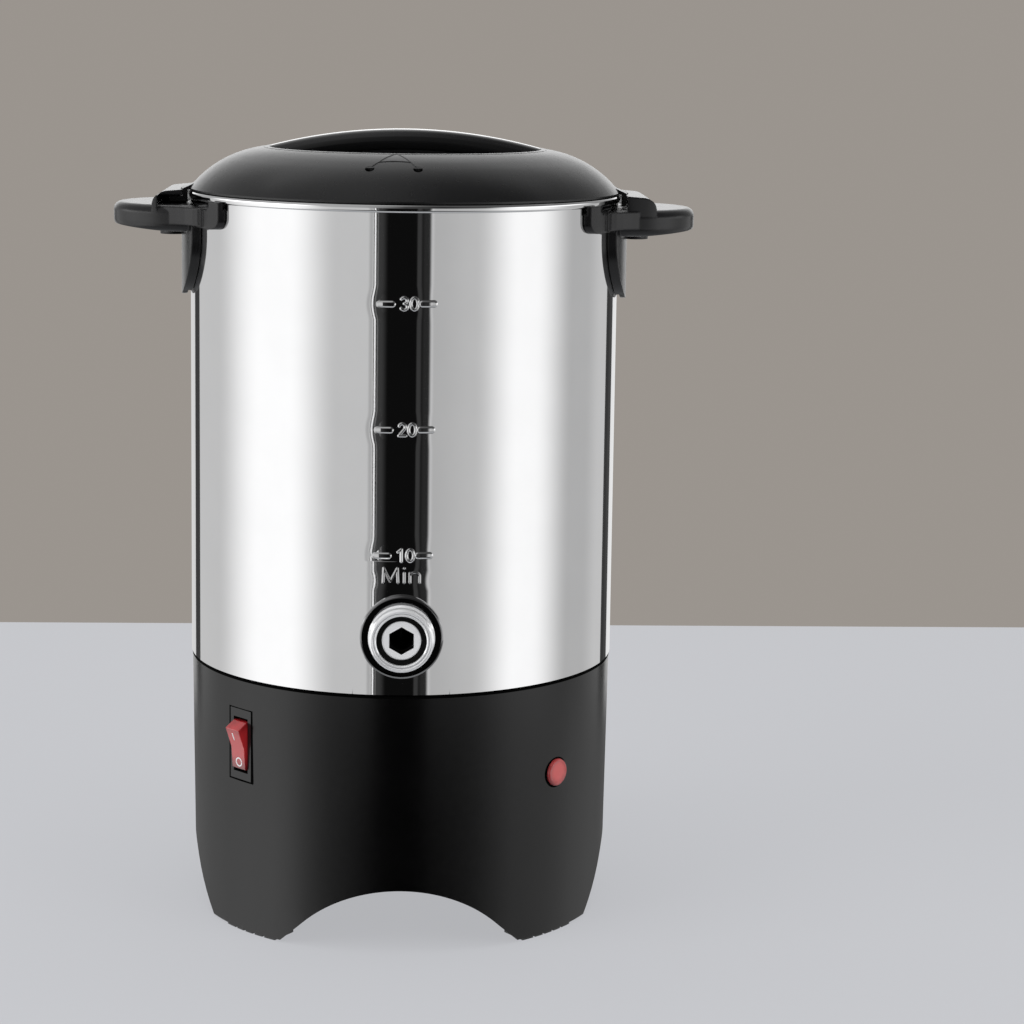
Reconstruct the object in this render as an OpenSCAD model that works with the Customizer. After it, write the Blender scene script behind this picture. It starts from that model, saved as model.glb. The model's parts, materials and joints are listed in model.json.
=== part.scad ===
// Percolating coffee urn: mirror steel tank on a moulded base with four arches,
// twist-lock lid, two side handles, open tap port, rocker switch and indicator lamp.
// Millimetres. +Z is up, the tap port faces -Y, the origin is the tank's axis on the standing plane.

/* [Tank] */
// Outer radius of the steel tank
body_r = 96; // [90:0.5:104]
// Thickness of the tank's wall
tank_t = 0.8; // [0.6:0.1:1.2]
// Thickness of the tank's floor
floor_t = 1; // [0.8:0.1:1.4]
// Height of the tank's rim above the standing plane
rim_z = 324.2; // [310:0.5:345]
// Radius of the rolled bead's section
bead_r = 1.3; // [1.1:0.1:1.5]
// Radius of the corner between wall and floor
tank_corner_r = 3; // [2:0.25:4]
// Inner radius of the boiling well in the floor
well_r = 18; // [16:0.5:19]
// Depth of the boiling well
well_depth = 12; // [9:0.5:13]

/* [Base] */
// Height of the base's top edge, where the tank stands
base_h = 115; // [108:0.5:124]
// Distance of the base's top edge inside the tank's outer face
skirt_inset = 0.4; // [0.1:0.1:1]
// Taper of the base's radius from its top edge to the standing plane
skirt_taper = 1.4; // [1:0.1:2]
// Wall of the base
skirt_t = 3; // [2.5:0.1:3.4]
// Crown height of the front and back arches
arch_front_h = 28.5; // [24:0.5:30]
// Crown height of the side arches
arch_side_h = 31.5; // [26:0.5:32]
// Half width of an arch at the standing plane
arch_half_w = 53; // [49:0.2:54]
// Half width of the two side arches at the table
arch_side_half_w = 45; // [43:0.2:52]
// Height of the base plate's lower face
plate_z = 33; // [32.5:0.5:40]
// Thickness of the base plate
plate_t = 2.5; // [2:0.25:3]
// Distance of the deck's lower face below the base's top edge
deck_drop = 8; // [7:0.5:15]
// Thickness of the deck
deck_t = 3; // [2.5:0.25:3.5]
// Inner radius of the deck, round the heater
deck_inner_r = 54; // [50:0.5:56]
// Height that the rubber feet stand below the legs
foot_proud = 1; // [0.8:0.1:1.6]

/* [Lid] */
// Gap between the lid's edge and the rim bead
lid_gap = 0.3; // [0.2:0.05:0.5]
// Wall of the lid
lid_t = 2.5; // [2:0.1:3]
// Radius of the dome's section
dome_r = 49; // [47:0.5:52]
// Radius of the finger dish at its lip
dish_r = 61.5; // [58:0.5:63]
// Depth of the finger dish below the lid's crown
dish_depth = 10.6; // [9:0.2:12]
// Height of the grip above the lid's crown
grip_rise = 8.2; // [6:0.2:10]
// Thickness of the grip from front to back
grip_w = 20; // [16:0.5:24]
// Wall of the ring that locates the lid inside the tank
plug_t = 2; // [1.6:0.1:2.4]
// Depth of that ring below the lid's edge
plug_depth = 4; // [3:0.25:4.2]
// Half angle that one lid ear covers
ear_half_angle = 7.5; // [6:0.25:8.5]
// Diameter of the two steam vents
vent_d = 4; // [3:0.1:5]

/* [Handles] */
// Distance that the handle's nose stands out from the tank
nose_reach = 34.5; // [28:0.5:42]
// Half width of the handle's paddle
paddle_half_w = 33; // [28:0.5:36]
// Height of the paddle's top below the rim
paddle_drop = 5.6; // [5.2:0.1:7]
// Thickness of the paddle at its nose
paddle_t = 9.4; // [8.5:0.1:11]
// Extra thickness of the paddle at its root
paddle_swell = 2.2; // [1.5:0.1:3]
// Distance that the hood's outer face stands out from the tank
hood_reach = 15; // [13:0.5:17]
// Half width of the hood's roof over the lid ear
hood_half_w = 20; // [18.5:0.25:21]
// Thickness of the hood's roof and walls
hood_t = 2.5; // [2.2:0.1:2.8]
// Clear height under the hood
hood_gap = 3.8; // [3.6:0.1:4.2]
// Distance of the handle's tongue below the rim at its tip
tongue_drop = 46.2; // [42:0.2:52]
// Half width of the tongue
tongue_half_w = 37; // [36:0.5:42]
// Thickness of the tongue
tongue_t = 3.8; // [3:0.1:4.5]

/* [Tap port] */
// Height of the tap port's axis
port_z = 141.2; // [138:0.2:150]
// Outside diameter of the rubber washer
port_washer_d = 35.6; // [33:0.2:37]
// Outside diameter of the collar
collar_d = 27.4; // [26:0.2:29]
// Bore diameter of the collar's cup
collar_bore_d = 21.4; // [20.4:0.2:22.4]
// Distance that the collar stands out from the washer
collar_len = 7.4; // [6.5:0.1:8.5]
// Outside diameter of the hollow nipple
nipple_d = 16.6; // [15.8:0.1:17.4]
// Size across the flats of the nipple's hexagon socket
hex_af = 10.4; // [10.2:0.1:11]
// Depth of the hexagon socket
hex_depth = 5; // [4:0.25:6]
// Diameter of the outlet bore behind the socket
outlet_d = 10; // [9:0.1:10.1]

/* [Switch] */
// Angle of the switch round the base, from the front
switch_az = -47.3; // [-52:0.1:-44]
// Height of the switch
switch_z = 85; // [78:0.5:88]
// Height of the switch's bezel
bezel_h = 32.5; // [30:0.5:34]
// Width of the switch's bezel
bezel_w = 15.4; // [14.4:0.1:16]
// Half length of the rocker's face
rocker_half_l = 10.4; // [9.6:0.1:11]
// Width of the rocker
rocker_w = 9; // [8:0.1:9.4]
// Angle that the rocker tips through between its two stops
rocker_throw = 24; // [20:1:26]
// Radial clearance of the rocker's trunnions
pivot_clear = 0.05; // [0.03:0.01:0.08]

/* [Lamp] */
// Angle of the lamp round the base, from the front
lamp_az = 46; // [42:0.1:50]
// Height of the lamp
lamp_z = 73.6; // [68:0.2:80]
// Diameter of the lens
lens_d = 12.4; // [11:0.1:13]
// Distance that the lens stands out
lens_proud = 3.2; // [2.6:0.1:4]

/* [Percolator] */
// Outside diameter of the pump tube
tube_d = 9; // [8:0.1:10]
// Height of the pump tube's top below the rim
tube_drop = 3; // [2:0.25:5]
// Outside radius of the coffee basket
basket_r = 59; // [52:0.5:64]
// Height of the basket's wall
basket_h = 50; // [40:0.5:56]
// Distance of the basket's rim below the tank's rim
basket_drop = 12.2; // [12:0.25:20]
// Wall of the basket
basket_t = 0.8; // [0.6:0.1:1]

/* [Hidden] */
$fn = 96;
e = 0.01;       // overlap that keeps cuts clean
cut = 400;      // longer than anything it cuts

tank_ir = body_r - tank_t;
well_bottom = base_h - well_depth;
skirt_top_r = body_r - skirt_inset;
skirt_foot_r = skirt_top_r - skirt_taper;
deck_z = base_h - deck_drop;
nose_x = body_r + nose_reach;
hood_x = body_r + hood_reach;
function skirt_r(z) = skirt_foot_r + (skirt_top_r - skirt_foot_r) * z / base_h;
function chord(r, x) = sqrt(r * r - x * x);

module at_az(a) { rotate([0, 0, a]) children(); }
// Children drawn along +Y outwards at the back are turned to face -Y at azimuth a
module outward(a, r, z) { rotate([0, 0, a]) translate([0, -r, z]) rotate([90, 0, 0]) children(); }

// ---------------------------------------------------------------- tank
tank_hole_d = 5.2;        // clearance holes for the handle screws
screw_az = 8;             // handle screws stand at +-8 degrees about the handle's middle

module tank_section() {
    c = tank_corner_r;
    // wall
    translate([tank_ir, base_h + c]) square([tank_t, rim_z - bead_r - base_h - c]);
    // rolled bead
    translate([body_r - bead_r + 0.8, rim_z - bead_r]) circle(bead_r);
    // corner
    translate([body_r - c, base_h + c]) intersection() {
        difference() { circle(c); circle(c - tank_t); }
        translate([0, -2 * c]) square(2 * c);
    }
    // floor outside the well, its sloping wall and its bottom
    translate([well_r, base_h]) square([body_r - c - well_r, floor_t]);
    translate([well_r, well_bottom]) square([floor_t, well_depth + floor_t]);
    translate([0, well_bottom]) square([well_r + floor_t, floor_t]);
}

port_cut_d = nipple_d + 0.4;

module tank_shell() {
    color([0.86, 0.86, 0.87]) difference() {
        rotate_extrude($fn = 180) tank_section();
        outward(0, tank_ir - 6, port_z) cylinder(d = port_cut_d, h = 20);
        for (side = [90, 270], a = [-screw_az, screw_az])
            outward(side + a, tank_ir - 6, handle_screw_z) cylinder(d = tank_hole_d, h = 20);
    }
}

// ---------------------------------------------------------------- handles
paddle_top = rim_z - paddle_drop;
paddle_bottom = paddle_top - paddle_t;
root_bottom = paddle_bottom - paddle_swell;
hood_roof = paddle_top + hood_gap;
hood_top = hood_roof + hood_t;
handle_fit = 0.3;                      // gap between the handles and the tank's wall
tongue_tip = rim_z - tongue_drop;
tongue_corner = 28;                    // radius of the tongue's lower corners
tongue_r = body_r + handle_fit + tongue_t;
saddle_r = body_r + handle_fit + 2.8;
saddle_half_w = 58.2;
saddle_bottom = root_bottom + 2.8;
saddle_top = rim_z - 6.4;
saddle_corner = 5;                     // radius of the saddle's lower corners
lug_len = 7;                           // the saddle's ends rise beside the bead this far
lug_top = rim_z - 2.4;
lug_in = body_r + 1.3;                 // clears the bead
ear_sweep = 30.8;                      // the lid ears pass within this angle
paddle_x = nose_x - paddle_half_w;     // middle of the paddle's round outline
top_round = 3.6;                       // radius of the paddle's upper edge
low_round = 4;                         // radius of the paddle's lower edge
flush = 0.1;                           // the hood's ends stand back this far from the paddle
handle_screw_z = paddle_top - paddle_t / 2 - 1.2;
insert_d = 7;
insert_len = 9;
screw_d = 4.8;
ear_wall_in = body_r + 1.5;            // inner radius of a lid ear's wall
ear_wall_t = 2.3;
ear_foot_len = 5.6;
hood_inner_r = ear_wall_in + ear_wall_t + 0.7;

module paddle_plan(inset = 0) { translate([paddle_x, 0]) circle(paddle_half_w - inset); }

// Half of the paddle's section about its own middle, with its edges rounded
module paddle_section() {
    w = paddle_half_w;
    square([w - low_round, low_round + 1]);
    translate([0, low_round]) square([w, paddle_top - root_bottom - low_round - top_round]);
    translate([0, low_round]) square([w - top_round, paddle_top - root_bottom - low_round]);
    translate([w - low_round, low_round]) circle(low_round);
    translate([w - top_round, paddle_top - root_bottom - top_round]) circle(top_round);
}

// Side view of the paddle, whose underside rises towards the nose: x is outwards, y is up
module paddle_side() {
    polygon([[55, root_bottom - 1], [body_r + 8, root_bottom - e], [nose_x + 1, paddle_bottom],
        [nose_x + 1, paddle_top + 1], [55, paddle_top + 1]]);
}

// Side view of the hood: roof and outer wall, with its outer edge rounded off
module hood_side() {
    polygon([[body_r + 2, paddle_top - 1], [body_r + 2, hood_top], [hood_x - 5, hood_top - 0.7],
        [hood_x - 3.4, hood_top - 1.2], [hood_x - 1.8, hood_top - 2.2],
        [hood_x - 0.6, hood_top - 3.7], [hood_x, hood_top - 5.6], [hood_x, paddle_top - 1]]);
}

// Upright block over the paddle's outline, which the hood's ends are cut from
module hood_block(y0, y1) {
    intersection() {
        translate([0, 0, paddle_top - top_round - 0.8]) linear_extrude(20) paddle_plan(flush);
        translate([60, y0, 200]) cube([80, y1 - y0, 200]);
    }
}

// Outline of the root in plan, which sweeps out from the paddle's sides to the saddle
module root_plan() {
    for (s = [-1, 1]) polygon([[60, 0], [60, s * 46.5], [88.5, s * 46.5], [90, s * 43],
        [92.5, s * 39.5], [96, s * 36.5], [100, s * 34.2], [106, s * 31], [106, 0]]);
}

// Outline of the saddle seen along the handle, with round lower corners
module saddle_outline() {
    w = saddle_half_w;
    c = saddle_corner;
    translate([-w + c, saddle_bottom]) square([2 * (w - c), saddle_top - saddle_bottom]);
    translate([-w, saddle_bottom + c]) square([2 * w, saddle_top - saddle_bottom - c]);
    for (s = [-1, 1]) {
        translate([s * (w - c), saddle_bottom + c]) circle(c);
        translate([s * (w - lug_len / 2) - lug_len / 2, saddle_top - 3])
            square([lug_len, lug_top - saddle_top + 3]);
    }
}

// Outline of the tongue seen along the handle: two round corners below a straight apron
module tongue_outline() {
    w = tongue_half_w;
    c = tongue_corner;
    top = root_bottom + 3;
    translate([-w + c, tongue_tip]) square([2 * (w - c), top - tongue_tip]);
    translate([-w, tongue_tip + c]) square([2 * w, top - tongue_tip - c]);
    for (s = [-1, 1]) translate([s * (w - c), tongue_tip + c]) circle(c);
}

module ring_sector(r_in, r_out, z0, z1, half_angle) {
    rotate([0, 0, -half_angle]) rotate_extrude(angle = 2 * half_angle)
        translate([r_in, z0]) square([r_out - r_in, z1 - z0]);
}

pocket_x = hood_x + 2;                 // where the paddle's hollow starts
pocket_wall = 3;

// Handle on the +X side; its hood opens towards +Y
module handle() {
    difference() {
        union() {
            intersection() {
                translate([paddle_x, 0, root_bottom]) rotate_extrude() intersection() {
                    paddle_section();
                    square([100, 100]);
                }
                rotate([90, 0, 0]) linear_extrude(2 * paddle_half_w + 10, center = true)
                    paddle_side();
            }
            translate([0, 0, saddle_bottom + 0.6]) linear_extrude(paddle_top - 1.1 - saddle_bottom)
                root_plan();
            intersection() {
                rotate([90, 0, 90]) linear_extrude(tongue_r + 5) saddle_outline();
                ring_sector(body_r - 3, saddle_r, root_bottom, lug_top + 1, 50);
            }
            intersection() {
                rotate([90, 0, 90]) linear_extrude(tongue_r + 5) tongue_outline();
                ring_sector(body_r - 3, tongue_r, tongue_tip - 1, root_bottom + 4, 50);
            }
            // hood over the lid ear, with one closed end that is flush with the paddle's side
            rotate([90, 0, 0]) linear_extrude(2 * hood_half_w, center = true) hood_side();
            intersection() {
                hood_block(-paddle_half_w, -hood_half_w + 1);
                rotate([90, 0, 0]) linear_extrude(2 * paddle_half_w, center = true) union() {
                    hood_side();
                    translate([body_r + 2, paddle_top - 10]) square([hood_x - body_r - 2, 9.5]);
                }
            }
            // the outer wall runs on beside the open end, down over the paddle's rounded edge
            intersection() {
                hood_block(hood_half_w - 1, paddle_half_w);
                rotate([90, 0, 0]) linear_extrude(2 * paddle_half_w, center = true) union() {
                    intersection() {
                        hood_side();
                        translate([hood_x - hood_t, 0]) square([20, cut]);
                    }
                    translate([hood_x - hood_t, paddle_top - 10]) square([hood_t, 9.5]);
                }
            }
            // boss under the root
            translate([body_r + 8, 0, root_bottom - 3]) cylinder(d = 12, h = 8);
        }
        // seat on the tank
        translate([0, 0, tongue_tip - 10]) cylinder(r = body_r + handle_fit, h = 80, $fn = 180);
        // passage for the lid ear, open at +Y and towards the tank
        translate([body_r, -hood_half_w + hood_t, paddle_top])
            cube([hood_x - hood_t - body_r, 2 * hood_half_w + 10, hood_gap]);
        translate([0, 0, hood_roof - e]) cylinder(r = hood_inner_r, h = 10, $fn = 180);
        // the passage's inner side stays clear of the ear's wall all along its turn
        ring_sector(20, hood_inner_r, paddle_top, paddle_top + 10, ear_sweep);
        translate([0, 0, saddle_top + 0.3]) cylinder(r = lug_in, h = 10, $fn = 180);
        // hollow under the paddle
        difference() {
            translate([0, 0, root_bottom - 5]) linear_extrude(paddle_top - pocket_wall
                - root_bottom + 5) intersection() {
                paddle_plan(pocket_wall);
                translate([pocket_x, -60]) square([60, 120]);
            }
            translate([pocket_x - 1, -1, root_bottom - 6]) cube([60, 2, 30]);
        }
        // seats of the brass inserts
        for (a = [-screw_az, screw_az]) outward(90 + a, body_r - 3, handle_screw_z)
            cylinder(d = insert_d, h = 3 + handle_fit + insert_len);
        // hollow behind the tongue's tip
        intersection() {
            ring_sector(body_r, body_r + handle_fit + tongue_t - 2.2, tongue_tip - 5,
                tongue_tip + 9, 12);
            translate([0, -60, tongue_tip - 5]) cube([150, 120, 14]);
        }
    }
}

module handle_right() { color([0.13, 0.13, 0.135]) handle(); }
module handle_left() { color([0.13, 0.13, 0.135]) rotate([0, 0, 180]) handle(); }

module at_handle_screws() {
    for (side = [90, 270], a = [-screw_az, screw_az]) outward(side + a, 0, handle_screw_z)
        children();
}

module handle_inserts() {
    color([0.8, 0.65, 0.35]) at_handle_screws() translate([0, 0, body_r + handle_fit + 0.6])
        difference() {
            cylinder(d = insert_d, h = insert_len - 0.6);
            translate([0, 0, -1]) cylinder(d = screw_d, h = insert_len + 2);
        }
}

washer_t = 1.5;
washer_d = 12;
// outer face of a flat washer that bears on the round wall
washer_face = chord(tank_ir, washer_d / 2);

module handle_washers() {
    color([0.55, 0.15, 0.1]) at_handle_screws() translate([0, 0, washer_face - washer_t])
        difference() {
            cylinder(d = washer_d, h = washer_t);
            translate([0, 0, -1]) cylinder(d = screw_d + 0.4, h = washer_t + 2);
        }
}

module handle_screws() {
    head_z = washer_face - washer_t;
    color([0.7, 0.7, 0.72]) at_handle_screws() translate([0, 0, head_z]) difference() {
        union() {
            translate([0, 0, -2.6]) cylinder(d = 9, h = 2.6);
            translate([0, 0, -e]) cylinder(d = screw_d, h = body_r + handle_fit + 7 - head_z);
        }
        for (t = [0, 90]) rotate([0, 0, t]) translate([-2.5, -0.5, -3]) cube([5, 1, 1.6]);
    }
}

// ---------------------------------------------------------------- lid
lid_edge = rim_z + lid_gap;
dome_edge_r = body_r + 0.4;
crown_r = 58;                                  // radius at which the dome is level
// the dome's crown lies where its arc meets the edge one lip above the rim
lip_h = 0.8;
dome_cz = lid_edge + lip_h - chord(dome_r, dome_edge_r - crown_r);
crown_z = dome_cz + dome_r;
dish_floor = crown_z - dish_depth;
plug_or = body_r - bead_r * 2 + 0.8 - 0.6;
dish_floor_r = dish_r - 9.5;
mark_az = -3.5;                                // the vents lie about this line
vent_az = 7.2;
vent_r = 81;

module lid_section() {
    // dome
    intersection() {
        difference() {
            translate([crown_r, dome_cz]) circle(dome_r, $fn = 180);
            translate([crown_r, dome_cz]) circle(dome_r - lid_t, $fn = 180);
        }
        translate([dish_r - 0.5, lid_edge]) square([dome_edge_r - dish_r + 0.5, 40]);
    }
    // ring that locates the lid in the tank
    translate([plug_or - plug_t, lid_edge - plug_depth]) square([plug_t, plug_depth + 3.2]);
    // wall and floor of the finger dish
    polygon([[0, dish_floor - lid_t], [dish_floor_r + 1, dish_floor - lid_t],
        [dish_r + 0.4, crown_z - lid_t - 0.6], [dish_r + 2, crown_z - lid_t - 0.3],
        [dish_r + 2, crown_z - 0.2], [dish_r, crown_z - 0.1], [dish_r - 0.7, crown_z - 0.5],
        [dish_floor_r, dish_floor], [0, dish_floor]]);
}

ear_bottom = paddle_top + 0.7;
ear_foot_top = hood_roof - 0.7;
ear_top = hood_top;

module lid_ear() {
    // arm, wall and foot of one ear, on the +X side
    ear_wall_out = ear_wall_in + ear_wall_t;
    rotate([0, 0, -ear_half_angle]) rotate_extrude(angle = 2 * ear_half_angle)
        polygon([[plug_or - 1, lid_edge], [ear_wall_out, lid_edge], [ear_wall_out, ear_top],
            [ear_wall_out - 1, ear_top + 0.5], [body_r, ear_top + 1.7],
            [plug_or - 2, ear_top + 4]]);
    ring_sector(ear_wall_in, ear_wall_out, ear_bottom, ear_top - 0.2, ear_half_angle);
    ring_sector(ear_wall_in, ear_wall_out + ear_foot_len, ear_bottom, ear_foot_top,
        ear_half_angle);
}

grip_arc_r = (dish_r * dish_r + grip_rise * grip_rise) / (2 * grip_rise);
grip_fit = 0.2;
grip_end_r = dish_r - 0.7 - grip_fit;            // the bar's ends stop on the dish wall
grip_bar_t = 11;
grip_screw_x = 34;

module lid_shell() {
    color([0.16, 0.16, 0.165]) difference() {
        union() {
            rotate_extrude($fn = 180) lid_section();
            lid_ear();
            rotate([0, 0, 180]) lid_ear();
        }
        for (s = [-1, 1]) at_az(mark_az + s * vent_az) translate([0, -vent_r, dish_floor])
            cylinder(d = vent_d, h = 40);
        for (s = [-1, 1]) translate([s * grip_screw_x, 0, dish_floor - 10])
            cylinder(d = 4.4, h = 20);
    }
}

// Section of the grip's bar: a rounded oblong, x is the distance from the arch's centre
module grip_bar_section() {
    r = 5;
    w = grip_w / 2;
    translate([grip_arc_r - grip_bar_t, -w + 2]) square([grip_bar_t - r, 2 * w - 4]);
    translate([grip_arc_r - r - e, -w + r]) square([r + e, 2 * (w - r)]);
    translate([grip_arc_r - grip_bar_t, -w + r]) square([grip_bar_t, 2 * (w - r)]);
    for (s = [-1, 1]) translate([grip_arc_r - r, s * (w - r)]) circle(r);
}

module lid_grip() {
    arch_cz = crown_z + grip_rise - grip_arc_r;
    color([0.05, 0.05, 0.052]) difference() {
        intersection() {
            union() {
                // arched bar: the section is swept about an axis that lies along Y
                translate([0, 0, arch_cz]) rotate([90, 0, 0]) rotate([0, 0, 70])
                    rotate_extrude(angle = 40, $fn = 180) grip_bar_section();
                // web between the bar and the dish
                intersection() {
                    translate([-dish_r, -grip_w / 2 + 3, dish_floor])
                        cube([2 * dish_r, grip_w - 6, 30]);
                    translate([0, 0, arch_cz]) rotate([90, 0, 0])
                        cylinder(r = grip_arc_r - 4, h = 60, center = true, $fn = 180);
                }
            }
            rotate_extrude($fn = 180) polygon([[0, dish_floor + grip_fit / 2],
                [dish_floor_r - grip_fit, dish_floor + grip_fit / 2],
                [grip_end_r, crown_z - 0.5], [grip_end_r, crown_z + 40], [0, crown_z + 40]]);
        }
        for (s = [-1, 1]) translate([s * grip_screw_x, 0, dish_floor - 1])
            cylinder(d = 3.2, h = 9);
        // hollow of the moulding, open downwards
        for (s = [-1, 1]) translate([s * 14 - 9, -grip_w / 2 + 4.5, dish_floor - 1])
            cube([18, grip_w - 9, 9]);
    }
}

module lid_grip_screws() {
    color([0.7, 0.7, 0.72]) for (s = [-1, 1]) translate([s * grip_screw_x, 0,
        dish_floor - lid_t]) {
        translate([0, 0, -2.4]) cylinder(d = 7, h = 2.4);
        translate([0, 0, -e]) cylinder(d = 3.2, h = lid_t + 7);
    }
}

// ---------------------------------------------------------------- tap port
washer_min_t = 2.2;
port_face = body_r + washer_min_t;              // distance of the washer's front from the axis
collar_face = port_face + collar_len;
collar_web = 1.6;
nipple_face = collar_face - 1.3;
seal_face = collar_face - 1.7;
flange_d = 27;
flange_t = 2.5;
inner_washer_t = 2;
flange_seat = chord(tank_ir, flange_d / 2) - inner_washer_t + 0.4;

module port_washer() {
    color([0.07, 0.07, 0.07]) difference() {
        outward(0, 0, port_z) translate([0, 0, body_r - 8])
            cylinder(d = port_washer_d, h = port_face - body_r + 8);
        translate([0, 0, port_z - 40]) cylinder(r = body_r, h = 80, $fn = 180);
        outward(0, 0, port_z) cylinder(d = port_cut_d, h = cut);
    }
}

module port_collar() {
    c = collar_d / 2;
    b = collar_bore_d / 2;
    len = collar_len;
    color([0.88, 0.88, 0.9]) outward(0, port_face, port_z) difference() {
        rotate_extrude() polygon([[0, 0], [c + 0.5, 0], [c + 0.5, 1], [c, 1.6],
            [c, len - 1.3], [c - 0.25, len - 0.55], [c - 0.8, len - 0.1], [c - 1.2, len],
            [c - 1.6, len - 0.15], [c - 1.8, len - 0.5], [b + 0.9, len - 0.5],
            [b + 0.7, len - 0.15], [b + 0.45, len - 0.1], [b, len - 0.45], [0, len - 0.45]]);
        translate([0, 0, collar_web]) cylinder(d = collar_bore_d, h = 20);
        translate([0, 0, -1]) cylinder(d = nipple_d + 0.1, h = 20);
    }
}

module port_seal_ring() {
    r_out = collar_bore_d / 2 - 0.05;
    r_in = nipple_d / 2 + 0.05;
    len = seal_face - port_face - collar_web;
    color([0.05, 0.05, 0.05]) outward(0, port_face + collar_web, port_z) rotate_extrude()
        union() {
            translate([r_in, 0]) square([r_out - r_in, len - 0.8]);
            translate([(r_in + r_out) / 2, len - 0.8])
                intersection() {
                    translate([-(r_out - r_in) / 2, -1]) square([r_out - r_in, 1.8]);
                    circle((r_out - r_in) / 2);
                }
        }
}

module port_nipple() {
    len = nipple_face - flange_seat;
    color([0.85, 0.85, 0.87]) outward(0, flange_seat, port_z) difference() {
        union() {
            translate([0, 0, -flange_t]) cylinder(d = flange_d, h = flange_t);
            translate([0, 0, -e]) cylinder(d = nipple_d, h = len - 0.6);
            translate([0, 0, len - 0.6 - e]) cylinder(d1 = nipple_d, d2 = nipple_d - 1.2, h = 0.6 + e);
        }
        translate([0, 0, -flange_t - 1]) cylinder(d = outlet_d, h = cut);
        translate([0, 0, len - hex_depth]) rotate([0, 0, 90])
            cylinder(d = hex_af / cos(30), h = 20, $fn = 6);
    }
}

module port_inner_washer() {
    color([0.5, 0.12, 0.08]) intersection() {
        outward(0, flange_seat, port_z) difference() {
            cylinder(d = flange_d, h = 12);
            translate([0, 0, -1]) cylinder(d = port_cut_d, h = 20);
        }
        translate([0, 0, port_z - 40]) cylinder(r = tank_ir, h = 80, $fn = 180);
    }
}

// ---------------------------------------------------------------- base
leg_az = [45, 135, 225, 315];
toe_r = 79;                        // inner radius of the toe blocks
toe_h = 8;
deck_boss_d = 13;
stud_r = 66;                       // the studs' distance from the axis
stud_az = [0, 120, 240];
stud_d = 4;
post_r = 82;
post_d = 9;
post_h = 26;
plate_r = skirt_r(plate_z) - skirt_t - 1.2;
plate_screw_d = 3.5;
gland_z = 50;
gland_body_d = 12;
gland_bore_d = 7.4;
spot_d = 20;                       // flat seat of the gland's flange
lens_hole_d = 9.8;
arch_steps = 36;

// Arch seen along its passage: a round crown that runs into two flanks at 45 degrees
module arch_outline(h, half_w) {
    r = (half_w - h) * cos(45) / (1 - cos(45));
    polygon([[-half_w - 20, -20], [half_w + 20, -20],
        for (i = [0:arch_steps]) let (t = 45 - 90 * i / arch_steps)
            [r * sin(t), h - r + r * cos(t)]]);
}

module skirt_section() {
    z0 = foot_proud;
    polygon([[skirt_r(z0) - skirt_t, z0], [skirt_r(z0), z0], [skirt_r(base_h - 1), base_h - 1],
        [skirt_r(base_h) - 0.8, base_h], [skirt_r(base_h) - skirt_t, base_h]]);
    // toe ring, of which the arches leave four blocks
    translate([toe_r, z0]) square([skirt_r(z0) - skirt_t / 2 - toe_r, toe_h]);
    // deck under the tank
    translate([deck_inner_r, deck_z])
        square([skirt_r(deck_z) - skirt_t / 2 - deck_inner_r, deck_t]);
}

switch_face = skirt_r(switch_z);                // distance of the bezel's face from the axis
bezel_fit = 0.25;                               // gap round the bezel
bezel_t = 1.6;
housing_w = 12.4;
housing_l = 27;
housing_back = 17;
rocker_tip = rocker_half_l * tan(rocker_throw / 2);
rocker_apex = 3.6;
pivot_depth = rocker_apex * cos(rocker_throw / 2) - 0.3;   // pivot axis behind the bezel's face
rocker_sweep = norm([rocker_half_l, rocker_apex + rocker_tip]);
trunnion_d = 2.4;

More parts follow.
